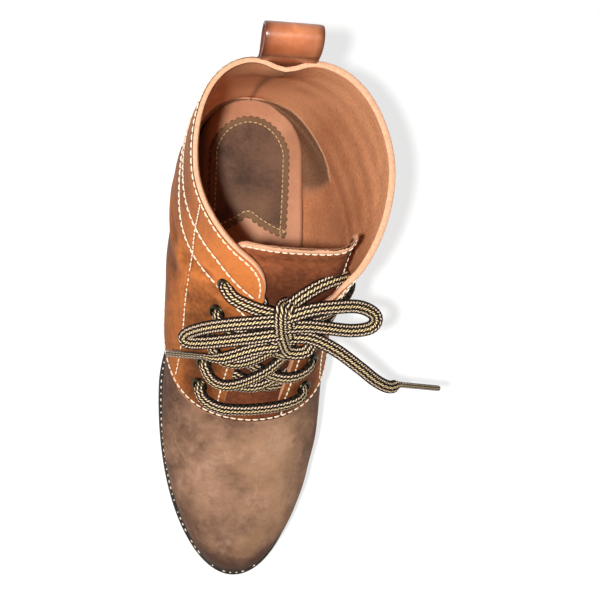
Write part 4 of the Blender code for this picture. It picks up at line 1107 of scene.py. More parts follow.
# Rows and columns of the grids. A quarter's are columns on a side and over the throat, then rows
# below the throat and beside it.
VAMP_GRID, BASE_GRID, TOE_GRID, TONGUE_GRID = (170, 231), (40, 50), (50, 71), (120, 90)
QUARTER_GRID, LINING_GRID = (120, 22, 14, 165), (105, 8, 6, 130)
VAMP_CROWDS, SIDE_CROWDS = 0.92, 1.15
VAMP_UNDER, TOE_UNDER, TOE_FROM = 0.3, 0.05, 0.12
FACING_FOOT = 3
GROOVE_WIDE, GROOVE_DEEP = 0.9, 0.28
CUT_ROUND, CUT_DROP = 0.8, 0.95
SMOOTH_AT_RIM, BORDER_STEP = (3.0, 9.0), 1.0
HOLE_RADIUS, HOLE_REACH = 3.0, 6.0


def troughs(row, v, table):
    """Depth of the creases at each place, with a soft ridge beside each one."""
    depth = np.zeros_like(row)
    for c in table:
        start = np.array([c.row_a * CREASE_ROW_MM, c.v_a * CREASE_SHARE_MM])
        d = np.array([c.row_b * CREASE_ROW_MM, c.v_b * CREASE_SHARE_MM]) - start
        x, y = row * CREASE_ROW_MM - start[0], v * CREASE_SHARE_MM - start[1]
        t = np.clip((x * d[0] + y * d[1]) / (d @ d), 0.0, 1.0)
        far = np.hypot(x - t * d[0], y - t * d[1]) / c.wide
        depth += c.deep * (bell(far) - RIDGE * np.exp(-((far - RIDGE_AT) ** 2) / RIDGE_WIDE))
    return depth


def spots(points, table):
    """How much of each spot lies at each point."""
    total = np.zeros(points.shape[:-1])
    for s in table:
        far = np.linalg.norm(points - last_point(s.row, s.v), axis=-1) / s.wide
        total = np.maximum(total, s.deep * bell(far))
    return total


def build_vamp():
    v = np.linspace(-1.0, 1.0, VAMP_GRID[1])
    s = np.linspace(0.0, 1.0, VAMP_GRID[0]) ** VAMP_CROWDS
    row = s[:, None] * (seam_row(v) + VAMP_UNDER)[None, :]
    v = np.broadcast_to(v, row.shape)
    points = on_upper(row, v, -troughs(row, v, VAMP_CREASES))
    points[0, :] = points[0, 0]
    # Painted light and shade: palest along the middle where the light falls, painted shade down the
    # sides, over the toe and on the toe's outer side, and a thin painted shadow under the quarters'
    # edge at the seam. Also darker towards the seam.
    tone_and_painted_light = 0.67 - 0.46 * fade(np.abs(v + 0.02), 0.1, 0.46) - 1.15 * fade(row, 3.3, 0.5)
    tone_and_painted_light = tone_and_painted_light - 0.3 * fade(v, 0.04, 0.24) * fade(row, 4.6, 2.2)
    tone_and_painted_light = tone_and_painted_light - 0.12 * fade(row, 4.9, 6.5) - 0.12 * bell((row - seam_row(v)) / 0.3)
    scratch = np.maximum(0.0, 1.0 - nearest(points, route_on(VAMP_SCRATCH, 0.0)[0]) / SCRATCH_WIDE)
    marks = {"tone_and_painted_light": tone_and_painted_light, "stain": spots(points, VAMP_STAINS), "scratch": 0.6 * scratch}
    finish_piece(add_grids("vamp", "nubuck", [Grid(points)], marks), "upper_leather")


def quarter_grid(side_columns, gap_columns, foot_rows, rows):
    """Rows and shares of the quarters, which faces the throat leaves open, and the columns along
    its inner and outer edge."""
    foot = (THROAT_ROW - SEAM_ROW) / (ROW_COLLAR - SEAM_ROW)
    s = np.concatenate([np.linspace(0.0, foot, foot_rows, endpoint=False), np.linspace(foot, 1.0, rows)])
    side = np.linspace(0.0, 1.0, side_columns) ** SIDE_CROWDS
    gap = np.linspace(-1.0, 1.0, gap_columns + 2)[1:-1]
    row, v = [], []
    for share in s:
        at = max(SEAM_ROW + (ROW_COLLAR - SEAM_ROW) * share, THROAT_ROW)
        left, right = throat_share(at, -1), throat_share(at, 1)
        between = np.where(gap < 0, -left, right) * gap
        v.append(np.concatenate([left - (left + 1.0) * side[::-1], between, right + (1.0 - right) * side]))
        seam = seam_row(v[-1])
        row.append(seam + (collar_row(v[-1]) - seam) * share)
    inner, outer = side_columns - 1, side_columns + gap_columns
    keep = np.ones((len(s) - 1, len(v[0]) - 1), bool)
    keep[:, inner:outer] = False
    return np.array(row), np.array(v), keep, inner, outer


def border_line(row, v, inner, outer):
    """Rows and shares round the opening: up the inner facing, round the collar and down the
    outer facing."""
    top = row.shape[0] - 1
    places = [(i, inner) for i in range(FACING_FOOT, top)]
    places += [(top, j) for j in range(inner, -1, -1)]
    places += [(top, j) for j in range(row.shape[1] - 2, outer, -1)]
    places += [(i, outer) for i in range(top, FACING_FOOT - 1, -1)]
    i, j = np.array(places).T
    return row[i, j], v[i, j]


def off_holes(points):
    """Which faces of a grid lie outside the eyelets' holes."""
    middle = 0.25 * (points[:-1, :-1] + points[1:, :-1] + points[1:, 1:] + points[:-1, 1:])
    keep = np.ones(middle.shape[:2], bool)
    for eyelet in EYELETS:
        from_centre = middle - eyelet.centre
        deep = from_centre @ eyelet.out
        beside = np.linalg.norm(from_centre - deep[..., None] * eyelet.out, axis=-1)
        keep &= (beside > HOLE_RADIUS) | (np.abs(deep) > HOLE_REACH)
    return keep


def build_quarters():
    """Both quarters in one piece. Gives the line of their border."""
    row, v, keep, inner, outer = quarter_grid(*QUARTER_GRID)
    a = np.abs(v)
    base = on_upper(row, v, QUARTER_STEP)
    border = border_line(row, v, inner, outer)
    from_rim = nearest(base, spread(on_upper(*border, QUARTER_STEP), CLOSE_STEP))
    from_seam = nearest(base, spread(base[0], CLOSE_STEP))
    lines = INNER_LINES + OUTER_LINES
    sewn = np.concatenate([route_on(line, QUARTER_STEP, CLOSE_STEP)[0] for line in lines])
    groove = bell(nearest(base, sewn) / GROOVE_WIDE)
    creases = troughs(row, v, QUARTER_CREASES)
    lift = QUARTER_STEP - creases * fade(from_rim, *SMOOTH_AT_RIM) - GROOVE_DEEP * groove
    lift = lift - CUT_DROP * (1.0 - rounded(from_seam / CUT_ROUND))
    points = on_upper(row, v, lift)
    # Brighter above the lower sewn line and darker at the throat's foot, with painted shade round the
    # eyelets, down the sides and in the creases
    low_row, low_v = np.array(LINE_LOW).T
    above = fade(row - np.interp(a, -low_v, low_row), -0.06, 0.06)
    near_hole = bell(nearest(points, np.array([eyelet.centre for eyelet in EYELETS])) / 8.5)
    tone_and_painted_light = 0.56 + (0.28 - 0.2 * fade(a, 0.22, 0.34)) * above - 0.4 * near_hole * (1.0 - above)
    tone_and_painted_light = tone_and_painted_light - 0.2 * fade(row, 11.6, 9.0) * fade(a, 0.34, 0.28)
    tone_and_painted_light = tone_and_painted_light - 0.5 * bell(from_seam / 9.0) * fade(a, 0.24, 0.14)
    tone_and_painted_light = tone_and_painted_light - 0.16 * fade(a, 0.32, 0.46) - 0.16 * np.clip(creases, -0.6, 1.0)
    edge = np.maximum(1.0 - from_seam / CUT_ROUND, 0.0) * 0.8
    marks = {"tone_and_painted_light": tone_and_painted_light, "groove": groove * 0.55, "edge": edge}
    grid = Grid(points, keep=keep & off_holes(points))
    finish_piece(add_grids("quarters", "quarter", [grid], marks), "upper_leather", "upper")
    return border


def along_border(border, lift):
    """Points of the border, the directions out of the upper and away from its edge, and its rows."""
    row, v = border
    extra = np.concatenate([last_normal(row, v), row[:, None]], 1)
    points, extra = spread(on_upper(row, v, lift), BORDER_STEP, extra)
    out = unit(extra[:, :3])
    away = unit(np.cross(np.gradient(points, axis=0), out))
    return points, out, away, extra[:, 3]


def build_rim(border):
    """The raw edge round the collar, thinner down the facings and on the inner side."""
    points, out, away, row = along_border(border, 0.0)
    outward = fade(points[:, 0], *RIM_X)
    full = 0.56 + (0.04 + 0.28 * outward) * fade(row, *RIM_ROWS)
    lip = 0.4 + 0.6 * outward
    lines, burn = [], []
    for place in RIM:
        rise = (place.out + RIM_MIDDLE) * full - RIM_MIDDLE
        reach = place.away * full * (lip if place.narrow else 1.0)
        lines.append(points + rise[:, None] * out + reach[:, None] * away)
        burn.append(place.burn + 0.4 * (1.0 - fade(row, 12.5, 14.5)))
    marks = {"burn": np.stack(burn, 1)}
    finish_piece(add_grids("collar_edge", "rim", [Grid(np.stack(lines, 1))], marks), "upper_leather")


def build_throat_base():
    """The foot of the throat, under the ends of both facings."""
    share = np.linspace(-1.0, 1.0, BASE_GRID[1])
    u = np.linspace(0.0, 1.0, BASE_GRID[0])[:, None]
    left, right = throat_share(THROAT_ROW, -1, BASE_UNDER), throat_share(THROAT_ROW, 1, BASE_UNDER)
    v = np.broadcast_to(np.where(share < 0, -left, right) * share, BASE_GRID)
    row = seam_row(v) + u * (BASE_ROW - seam_row(v))
    # Rounded up from the vamp at the seam, then sinking towards the tongue
    lift = 0.9 * rounded(u * 22.0) + 0.1 - 2.6 * fade(u, 0.3, 1.0)
    # A darker tone all over: painted shade at the foot of the throat, under the lowest lace bar
    marks = {"tone_and_painted_light": np.full(row.shape, 0.15)}
    finish_piece(add_grids("throat_base", "tongue", [Grid(on_upper(row, v, lift))], marks), "upper_leather")


def build_lining():
    """The inside of the quarters with the heel lining's edge, and a plain inside of the toe."""
    row, v, keep, _, _ = quarter_grid(*LINING_GRID)
    a = np.abs(v)
    folds = troughs(row, v, LINING_FOLDS)
    low, high = (np.interp(a, *np.array(table).T) for table in (COUNTER_LOW, COUNTER_TOP))
    inside = np.minimum(fade(high - row, 0.0, 0.2), fade(row - low, 0.0, 0.3)) * (a > COUNTER_FROM)
    lift = -WALL_IN - np.clip(folds, -1.0, 2.0) * fade(collar_row(v) - row, 0.0, 0.7) - COUNTER_STEP * inside
    toe_v = np.linspace(-1.0, 1.0, TOE_GRID[1])
    toe_row = np.linspace(TOE_FROM, 1.0, TOE_GRID[0])[:, None] * (seam_row(toe_v) + TOE_UNDER)[None, :]
    toe = on_upper(toe_row, np.broadcast_to(toe_v, toe_row.shape), -WALL_IN)
    # Brighter towards the collar, with painted light at the back and painted shade in the folds
    tone_and_painted_light = 0.2 * fade(row, 14.5, 17.0) + 0.35 * fade(a, 0.68, 0.88) * fade(row, 12.2, 13.2)
    skive = bell((inside - 0.4) / 0.3) * (inside > 0.02) * fade(row - low, 0.0, 0.5)
    marks = {
        "tone_and_painted_light": tone_and_painted_light - 0.15 * np.clip(folds, 0.0, 1.0),
        "counter": inside,
        "skive": 0.85 * skive,
        "groove": bell((1.0 - a) * SHARE_MM) * (row > ROW_HEEL),
    }
    marks = {key: np.concatenate([values.ravel(), np.zeros(toe_row.size)]) for key, values in marks.items()}
    grids = [Grid(on_upper(row, v, lift), keep=keep), Grid(toe)]
    finish_piece(add_grids("lining", "lining", grids, marks), "upper_leather")


# The distance between points of the tongue's outline, its rounded edge, and the columns and rows
# of its grid along which it is sewn
TONGUE_STEP = 0.4
TONGUE_ROUND, SEWN_IN, SEWN_FROM, SEWN_TO = 1.1, 5, 40, -4


def build_tongue():
    """A soft sheet with rounded edges. Gives its sewn line and the directions out."""
    rows = np.linspace(*TONGUE_ROWS, TONGUE_GRID[0])
    share = np.linspace(-1.0, 1.0, TONGUE_GRID[1])
    fall = np.where(share < 0, TONGUE_FALL_MEDIAL, TONGUE_FALL_LATERAL) * np.abs(share) ** 2
    fall = fall + 0.45 * fade(np.abs(share), 0.8, 1.0) ** 2
    row = rows[:, None] - fall * fade(rows[:, None], TONGUE_FALL_FROM, TONGUE_ROWS[1])
    v = np.empty_like(row)
    for i, at in enumerate(rows):
        half = TONGUE_FOOT_HALF + (TONGUE_LOW_HALF - TONGUE_FOOT_HALF) * fade(at, *TONGUE_FOOT_ROWS)
        high = fade(at, *TONGUE_HIGH_ROWS)
        left = -share_at(at, half + (TONGUE_HIGH_MEDIAL - TONGUE_LOW_HALF) * high, -1)
        right = share_at(at, half + (TONGUE_HIGH_LATERAL - TONGUE_LOW_HALF) * high, 1)
        v[i] = np.where(share < 0, left, right) * share
    lean = TONGUE_LEANS + (TONGUE_LEANS_LATERAL - TONGUE_LEANS) * np.clip(share, 0.0, 1.0) ** 2
    deep = WALL_IN + TONGUE_UNDER + lean * fade(row, TONGUE_LEANS_FROM, TONGUE_ROWS[1]) + TONGUE_THICK / 2.0
    middle = on_upper(row, v, -deep)
    far = nearest(middle, spread(np.concatenate([middle[:, 0], middle[-1], middle[::-1, -1]]), TONGUE_STEP))
    from_top = nearest(middle, spread(middle[-1], TONGUE_STEP))
    swell = rounded(far / TONGUE_ROUND) * TONGUE_THICK / 2.0
    wave = 0.5 * np.sin(row * 2.3 + 3.0 * v) * fade(far, 3.0, 11.0)
    outer = on_upper(row, v, -deep + swell + wave)
    inner = on_upper(row, v, -deep - swell + wave)
    # Darker on the outer side and in the knot's shade below the top, paler at the cut edge
    tone_and_painted_light = 0.45 - 0.25 * fade(share, 0.2, 0.7) + 0.2 * fade(row, 12.5, 15.5)
    tone_and_painted_light = tone_and_painted_light - 0.4 * fade(from_top, 11.0, 20.0) - 0.3 * bell((from_top - 9.0) / 6.0)
    edge = np.maximum(fade(from_top, 3.0, 2.3), 0.6 * np.clip(1.0 - far / 1.2, 0.0, 1.0))
    marks = {"edge": edge, "tone_and_painted_light": tone_and_painted_light, "groove": 0.4 * bell((far - 3.0) / 0.8)}
    marks = {key: np.concatenate([values, values]) for key, values in marks.items()}
    grids = [Grid(outer), Grid(inner, flip=True)]
    finish_piece(add_grids("tongue_sheet", "tongue", grids, marks), "tongue_leather", "tongue")

    def sewn(grid):
        up, down = grid[SEWN_FROM:SEWN_TO, SEWN_IN], grid[SEWN_FROM:SEWN_TO, -SEWN_IN - 1][::-1]
        return np.concatenate([up, grid[SEWN_TO, SEWN_IN:-SEWN_IN], down])

    return spread(sewn(outer), SEWN_STEP, sewn(last_normal(row, v)))


# Points round an eyelet, and the radius and height of each line of its ring
EYELET_AROUND = 48
EYELET_RING = (
    (2.35, -2.4), (2.35, 0.55), (2.6, 1.0), (3.0, 1.22), (3.5, 1.24), (4.1, 1.0), (4.5, 0.45), (4.55, -0.2),
)


def build_eyelets():
    turn = circle(EYELET_AROUND)
    ring = np.array([[(r * math.cos(a), r * math.sin(a), z) for a in turn] for r, z in EYELET_RING])
    grids = []
    for eyelet in EYELETS:
        stand = np.array(Vector(eyelet.out).to_track_quat("Z", "Y").to_matrix())
        grids.append(Grid(ring @ stand.T + eyelet.centre, around=True))
    o = add_grids("eyelet_rings", "bronze", grids)
    finish_piece(o, "eyelet_bronze", *[eyelet.node for eyelet in EYELETS])


# The strap's cross-section, squarer than an oval, and the places where it is darker: its burnt edges,
# a painted shadow under the roll and painted shade on its outer side
STRAP_STEP, STRAP_AROUND, STRAP_SIDES, STRAP_FACES, STRAP_EDGE = 0.8, 44, 0.16, 0.42, 7.0
STRAP_FRONT_Y, STRAP_ROLL_Z, STRAP_BEHIND = 124.5, 154.0, (131.0, 134.0)


def build_strap():
    path = smooth_route([(0.0, s.y, s.z) for s in STRAP], STRAP_STEP)
    along = unit(np.gradient(path, axis=0))
    out = np.stack([0.0 * path[:, 0], along[:, 2], -along[:, 1]], axis=1)
    half = LOOP_WIDE / 2.0
    turn = circle(STRAP_AROUND)
    x = half * bent(np.cos(turn), STRAP_SIDES)
    n = LOOP_THICK / 2.0 * bent(np.sin(turn), STRAP_FACES)
    ring = path[:, None] + n[None, :, None] * out[:, None]
    ring = ring + np.array([1.0, 0.0, 0.0]) * (LOOP_X + x)[None, :, None]
    edge = np.clip((np.abs(x) - half + STRAP_EDGE) / STRAP_EDGE, 0.0, 1.0) ** 1.3
    edge = np.broadcast_to(edge, ring.shape[:2])
    y, z = path[:, 1], path[:, 2]
    # Painted shadow under the roll on the front leaf and painted shade on the outer side. The burn mark also
    # holds the burnt side edges.
    front = (y < STRAP_FRONT_Y) & (np.arange(len(path)) < len(path) // 2)
    shadow_under_roll = front * (0.55 * bell((z - STRAP_ROLL_Z) / 1.8) + 0.25 * (z < STRAP_ROLL_Z))
    darker = np.maximum(shadow_under_roll, 0.3 * fade(y, *STRAP_BEHIND))
    burn = np.maximum(0.5 * (np.abs(x) > half - 0.35)[None, :], darker[:, None])
    o = add_grids("loop_strap", "strap", [Grid(ring, around=True)], {"edge": edge, "burn": burn})
    finish_piece(o, "loop_leather", "pull_loop")


# Insole, pad and sole

INSOLE_GRID, PAD_GRID, SOLE_GRID, HEEL_GRID = (220, 61), (90, 60), (520, 41), (220, 31)
INSOLE_CROWDS, INSOLE_ROUND, INSOLE_DROP = 0.8, 0.06, 2.2
# Points round the sole, and how softly the tread's cuts end at the rim and at their sides
SOLE_AROUND, CUT_ENDS, CUT_SIDES = 420, 0.4, 0.25
# Inset of the welt's sewn line, how far it lies under the welt's face, and its points
WELT_ROW, WELT_ROW_UNDER, WELT_ROW_POINTS = 1.15, 0.15, 900


def crowded(start, end, count):
    """Numbers from start to end, closer together at both ends."""
    return start + (end - start) * (1.0 - np.cos(np.linspace(0.0, math.pi, count))) / 2.0


def build_insole():
    y = crowded(TOE_END + INSOLE_INSET, HEEL_END - INSOLE_INSET, INSOLE_GRID[0])
    c = bent(np.linspace(-1.0, 1.0, INSOLE_GRID[1]), INSOLE_CROWDS)
    _, x = across_sole(y, c, INSOLE_INSET)
    y = np.broadcast_to(y[:, None], x.shape)
    z = insole_top(y) - INSOLE_DROP * (1.0 - rounded((1.0 - np.abs(c)) / INSOLE_ROUND))[None, :]
    # Darker over the waist and towards both margins
    worn = 0.21 * bell((y - 30.0) / 30.0) + 0.3 * fade(np.abs(c), 0.9, 1.0)[None, :]
    # Painted shadow of the inner wall, with soil, near black along the inner margin from the waist back
    soil = 0.8 * fade(x, -20.0, -27.0) * fade(y, 30.0, 50.0)
    grid = Grid(np.stack([x, y, z], -1))
    o = add_grids("footbed", "insole", [grid], {"worn": worn, "soil": soil})
    finish_piece(o, "insole_leather", "insole")


PAD_ROUND, NOTCH_BEND, PAD_POINTS, PAD_STEP = 0.96, 1.5, 200, 0.45
# Distance between the bites in the pad's edge, their depth, sharpness and shift outward
SCALLOP, SCALLOP_DEEP, SCALLOP_BEND, SCALLOP_SHIFT = 3.9, 1.5, 0.8, 0.7
# How far inside its border the bitten edge and the flat face lie
PAD_INSET, FACE_BACK, FACE_FRONT, FACE_SIDE = 0.2, 0.5, 0.7, 0.6
# Where its edge draws in to, the place and size of a rubbed spot, and the inset of its sewn line
PAD_MIDDLE, PAD_RUB, PAD_SEWN = (0.0, 84.0), (6.0, 68.0, 9.0), 3.6
# Inset, height under the pad's face and darkness of each line round its edge
PAD_EDGE = (
    (2.2, 0.02, 0.0), (0.7, 0.0, 0.0), (0.2, 0.12, 0.4), (0.0, 0.4, 0.72), (0.0, GAP + PAD_THICK - 0.1, 0.8),
)


def pad_ends(c):
    """Back and front of the heel pad at share c across: a rounded back, a swallow tail in front."""
    back = PAD_BACK - (PAD_BACK - PAD_CORNER) * (1.0 - np.sqrt(1.0 - PAD_ROUND * c * c))
    return back, PAD_FRONT + PAD_NOTCH * (1.0 - np.abs(c)) ** NOTCH_BEND


def pad_border(inset, scallop):
    """The heel pad's outline from above, with a row of bites along it."""
    c = np.linspace(-1.0, 1.0, PAD_POINTS)
    back, front = pad_ends(c)
    line = np.concatenate([np.stack([c, back], 1), np.stack([c, front], 1)[::-1], [[c[0], back[0]]]])
    line = np.stack([line[:, 0] * PAD_HALF, line[:, 1], 0.0 * line[:, 0]], 1)
    flat = spread(line, PAD_STEP)[:-1]
    along = unit(np.roll(flat, -1, 0) - np.roll(flat, 1, 0))
    away = np.stack([-along[:, 1], along[:, 0]], 1)
    far = np.arange(len(flat)) * PAD_STEP
    bite = scallop * (np.abs(np.sin(math.pi * far / SCALLOP)) ** SCALLOP_BEND - SCALLOP_SHIFT)
    return flat[:, :2] + away * (bite - inset)[:, None]


def on_insole(line, lift):
    return np.concatenate([line, (insole_top(line[:, 1]) + lift)[:, None]], 1)


def build_pad():
    """The bare heel pad. Gives its sewn line."""
    top = GAP + PAD_THICK
    c = np.sin(np.linspace(-1.0, 1.0, PAD_GRID[1]) * math.pi / 2.0)
    u = np.linspace(0.0, 1.0, PAD_GRID[0])[:, None]
    back, front = pad_ends(c)
    back, front = back - FACE_BACK, front + FACE_FRONT
    y = front + (back - front) * u
    face = np.stack([np.broadcast_to(c * (PAD_HALF - FACE_SIDE), y.shape), y, insole_top(y) + top], -1)
    border = pad_border(PAD_INSET, SCALLOP_DEEP)
    inward = unit(np.array(PAD_MIDDLE) - border)
    rings = np.array([on_insole(border + inset * inward, top - under) for inset, under, _ in PAD_EDGE])
    points = np.concatenate([face.reshape(-1, 3), rings.reshape(-1, 3)])
    far = nearest(points, on_insole(pad_border(0.0, 0.0), top))
    rub = bell(np.linalg.norm(points[:, :2] - np.array(PAD_RUB[:2]), axis=-1) / PAD_RUB[2])
    dark = np.repeat([darkness for _, _, darkness in PAD_EDGE], len(border))
    marks = {"worn": 0.44 * fade(far, 4.2, 2.6) + 0.2 * rub, "edge": np.concatenate([np.zeros(y.size), dark])}
    grids = [Grid(face), Grid(rings, around=True)]
    finish_piece(add_grids("pad_patch", "pad", grids, marks), "pad_nubuck", "heel_pad")
    return on_insole(pad_border(PAD_SEWN, 0.0), top)


def sole_ring(inset, height, low, count=SOLE_AROUND):
    """A line round the sole, inset from its outline, at a height over low(y)."""
    p = circle(count)
    half = (HEEL_END - TOE_END) / 2.0 - inset
    y = (HEEL_END + TOE_END) / 2.0 - half * np.cos(p)
    side = np.where(np.sin(p) >= 0.0, 1.0, -1.0)
    x = side * half_width(y, side, inset)
    x[0] = x[count // 2] = 0.0
    return np.stack([x, y, low(y) + height], 1)


def sole_floor(y_low, y_high, inset, size, low, cuts):
    """A grid under the sole, with the tread cut into it."""
    y = crowded(y_low, y_high, size[0])
    half, x = across_sole(y, np.linspace(-1.0, 1.0, size[1]), inset)
    y = np.broadcast_to(y[:, None], x.shape)
    rim = fade(half - TREAD_RIM - np.abs(x), -CUT_ENDS, CUT_ENDS)
    sides = TREAD_WIDE / 2.0 + CUT_SIDES, TREAD_WIDE / 2.0 - CUT_SIDES
    deep = np.zeros(x.shape)
    for at in cuts:
        deep = np.maximum(deep, fade(np.abs(y - at), *sides) * rim)
    return np.stack([x, y, low(y) + TREAD_DEEP * deep], -1)


def build_welt():
    """The welt with its stitch groove. Gives the groove's line."""

    def low(y):
        return outsole_top(y) + GAP

    t = WELT_THICK
    profile = (
        (WELT_INNER, 0.0), (0.5, 0.0), (0.1, 0.25), (0.0, 0.8), (0.0, t - 0.8), (0.12, t - 0.3), (0.4, t),
        (0.7, t), (0.95, t - 0.3), (1.35, t - 0.3), (1.6, t), (2.4, t), (WELT_INNER, t), (WELT_INNER, 0.0),
    )
    rings = np.array([sole_ring(inset, height, low) for inset, height in profile])
    finish_piece(add_grids("welt_strip", "welt", [Grid(rings, around=True)]), "welt_leather", "welt")
    return sole_ring(WELT_ROW, t - WELT_ROW_UNDER, low, WELT_ROW_POINTS)


def build_outsole():
    t = OUTSOLE_THICK
    under_inset = 1.2
    profile = (
        (under_inset, 0.0), (0.35, 0.2), (0.0, 0.8), (0.0, 1.9), (0.3, 2.2), (0.0, 2.5),
        (0.0, t - 0.7), (0.3, t - 0.15), (1.0, t), (7.0, t),
    )
    rings = np.array([sole_ring(inset, height, ground) for inset, height in profile])
    ends = TOE_END + under_inset, HEEL_END - under_inset
    under = sole_floor(*ends, under_inset, SOLE_GRID, ground, TREAD_FOREFOOT)
    o = add_grids("outsole_rubber", "sole", [Grid(rings, around=True), Grid(under)])
    finish_piece(o, "sole_rubber", "outsole")


# The heel's lifts: shares of its height with a groove above them, and the groove's depth
HEEL_LIFTS, HEEL_GROOVE = (0.2, 0.4, 0.6, 0.8), 0.22
HEEL_INSET, HEEL_UNDER_INSET, HEEL_INTO_SOLE, BREAST_SLOPE = 1.0, 5.5, 0.1, 3.0
HEEL_SIDE_POINTS, BREAST_POINTS = 120, 30


def build_heel():
    """A stacked block with a straight front, rounded underneath."""
    profile = [(0.0, 2.0), (0.0, 0.5), (0.02, 0.15), (0.06, 0.0)]
    for lift in HEEL_LIFTS:
        profile += [(lift, 0.0), (lift + 0.015, HEEL_GROOVE), (lift + 0.03, 0.0)]
    u = np.sin(np.linspace(0.0, math.pi / 2, HEEL_SIDE_POINTS))
    rings = []
    for level, dent in profile + [(1.0, 0.0)]:
        inset = HEEL_INSET + HEEL_TAPER * (1.0 - level) + dent
        front = BREAST_Y + BREAST_SLOPE * (1.0 - level) + dent * 0.6
        y = front + (HEEL_END - inset - front) * u
        right, left = half_width(y, 1, inset), -half_width(y, -1, inset)
        right[-1] = left[-1] = 0.0
        z = (ground(y) + HEEL_INTO_SOLE) * level
        across = np.linspace(left[0], right[0], BREAST_POINTS)[1:-1]
        breast = np.stack([across, np.full(len(across), front), np.full(len(across), z[0])], 1)
        outer, inner = np.stack([right, y, z], 1), np.stack([left, y, z], 1)
        rings.append(np.concatenate([outer, inner[::-1][1:], breast]))
    ends = BREAST_Y + BREAST_SLOPE + 0.4, HEEL_END - HEEL_UNDER_INSET
    under = sole_floor(*ends, HEEL_UNDER_INSET, HEEL_GRID, np.zeros_like, TREAD_HEEL)
    o = add_grids("heel_stack", "heel", [Grid(np.array(rings), around=True), Grid(under)])
    finish_piece(o, "heel_rubber", "heel")


# Stitches

Stitch = namedtuple("Stitch", "pitch length wide")
LINE_STITCH, STAY_STITCH = Stitch(3.8, 3.6, 1.05), Stitch(2.9, 2.5, 0.8)
COLLAR_STITCH, FACING_STITCH = Stitch(3.7, 3.4, 1.0), Stitch(3.0, 2.4, 0.9)
SEAM_STITCH = Stitch(3.9, 3.2, 0.95)
TONGUE_STITCH, WELT_STITCH = Stitch(3.5, 3.1, 0.8), Stitch(3.6, 2.0, 0.8)
TAN_STITCH = Stitch(2.9, 2.2, 0.75)
# How far inside the border its sewn lines lie, the row from which the collar's runs, and the row
# up to which the facings' run
COLLAR_INSET, COLLAR_FROM, FACING_INSET, FACING_TO = 2.0, 12.95, 3.2, 11.2
SEAM_INSET, SEAM_SHARES = 0.11, np.linspace(-0.86, 0.86, 160)[::8]
WELT_UNEVEN, STITCH_MISSED, SEED = 0.6, 0.12, 5
# A stitch's rings and the points round each, and shares of its width: its arch, how deep it is
# sunk, and half its thickness
STITCH_RINGS, STITCH_AROUND, STITCH_ARCH, STITCH_SUNK, STITCH_FLAT = 7, 7, 0.34, 0.1, 0.42
# The collar's line stops beside the strap, behind BACK_Y. THROAT_X parts the two facings.
BACK_Y, STRAP_MARGIN, THROAT_X = 100.0, 1.0, 3.0
STRAP_SEWN, STRAP_SEWN_HALF, STRAP_OUT = ((129.45, 121.0), (128.8, 124.0)), 11.0, (0.0, 0.97, 0.24)
STRAP_SEWN_POINTS = 30


def stitches(name, lines, look, slot, uneven=0.0):
    """Joined thread stitches. Each line is its points, its directions out and its Stitch."""
    chance = np.random.default_rng(SEED)
    t = np.linspace(-0.5, 0.5, STITCH_RINGS)
    radius = np.sqrt(np.clip(1.0 - (2.0 * t) ** 4, 0.05, 1.0))
    angle = circle(STITCH_AROUND)
    rise = STITCH_ARCH * (1.0 - (2.0 * t) ** 2) - STITCH_SUNK
    grids = []
    for line, out, stitch in lines:
        far = run_along(line)
        count = int(far[-1] / stitch.pitch)
        for n in range(count):
            if uneven and chance.random() < STITCH_MISSED:
                continue
            own = stitch.length * (1.0 - uneven * chance.random())
            places = (n + 0.5 + t * own / stitch.pitch) * far[-1] / count
            middle = read_along(places, far, line)
            up = unit(read_along(places, far, out))
            side = np.cross(unit(np.gradient(middle, axis=0)), up)
            middle = middle + up * (stitch.wide * rise)[:, None]
            across = np.cos(angle)[None, :, None] * side[:, None] * stitch.wide / 2.0
            upward = np.sin(angle)[None, :, None] * up[:, None] * stitch.wide * STITCH_FLAT
            grids.append(Grid(middle[:, None] + radius[:, None, None] * (across + upward), around=True))
    finish_piece(add_grids(name, look, grids), slot)


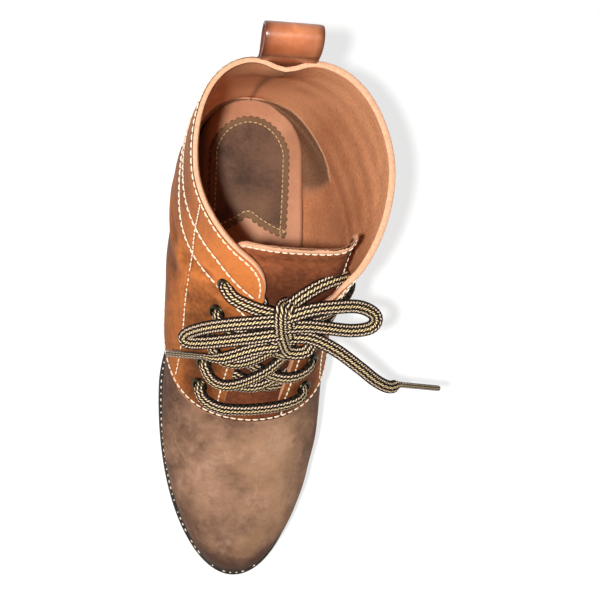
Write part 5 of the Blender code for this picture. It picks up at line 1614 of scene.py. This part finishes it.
def stitch_upper(border):
    lines = []
    for high, low, stay in (INNER_LINES, OUTER_LINES):
        for places, stitch in ((high, LINE_STITCH), (low, LINE_STITCH), (stay, STAY_STITCH)):
            lines.append((*route_on(places, QUARTER_STEP), stitch))
    edge, out, away, row = along_border(border, QUARTER_STEP)
    points = edge - COLLAR_INSET * away
    beside = np.abs(points[:, 0] - LOOP_X) < LOOP_WIDE / 2.0 + STRAP_MARGIN
    strap = np.nonzero(beside & (points[:, 1] > BACK_Y))[0]
    high = np.nonzero(row > COLLAR_FROM)[0]
    for part in (slice(high[0], strap[0]), slice(strap[-1] + 1, high[-1])):
        lines.append((points[part], out[part], COLLAR_STITCH))
    points = edge - FACING_INSET * away
    for side in (-1, 1):
        part = (row < FACING_TO) & (side * (points[:, 0] - THROAT_X) > 0)
        lines.append((points[part], out[part], FACING_STITCH))
    seam = [(seam_row(v) + SEAM_INSET, v) for v in SEAM_SHARES]
    lines.append((*route_on(seam, QUARTER_STEP), SEAM_STITCH))
    stitches("upper_stitches", lines, "thread", "upper_leather")


def stitch_strap():
    x = np.linspace(LOOP_X - STRAP_SEWN_HALF, LOOP_X + STRAP_SEWN_HALF, STRAP_SEWN_POINTS)
    out = np.repeat(np.array([STRAP_OUT]), len(x), 0)
    lines = [(np.stack([x, 0.0 * x + y, 0.0 * x + z], 1), out, TAN_STITCH) for y, z in STRAP_SEWN]
    stitches("strap_stitches", lines, "tan_thread", "loop_leather")


def closed_row(line, stitch):
    """A closed row of stitches on a level face."""
    line = np.concatenate([line, line[:1]])
    return line, np.repeat(np.array([[0.0, 0.0, 1.0]]), len(line), 0), stitch


# The boot, piece by piece
place_camera()
add_sky()
add_key_light()
add_floor()
build_lacing()
build_bow()
build_vamp()
BORDER = build_quarters()
build_rim(BORDER)
build_throat_base()
build_lining()
TONGUE_LINE = build_tongue()
build_eyelets()
build_strap()
build_insole()
PAD_LINE = build_pad()
WELT_LINE = build_welt()
build_outsole()
build_heel()
stitch_upper(BORDER)
stitch_strap()
stitches("tongue_stitches", [(*TONGUE_LINE, TONGUE_STITCH)], "thread", "tongue_leather")
stitches("welt_stitches", [closed_row(WELT_LINE, WELT_STITCH)], "thread", "welt_leather", WELT_UNEVEN)
stitches("pad_stitches", [closed_row(PAD_LINE, TAN_STITCH)], "tan_thread", "pad_nubuck")
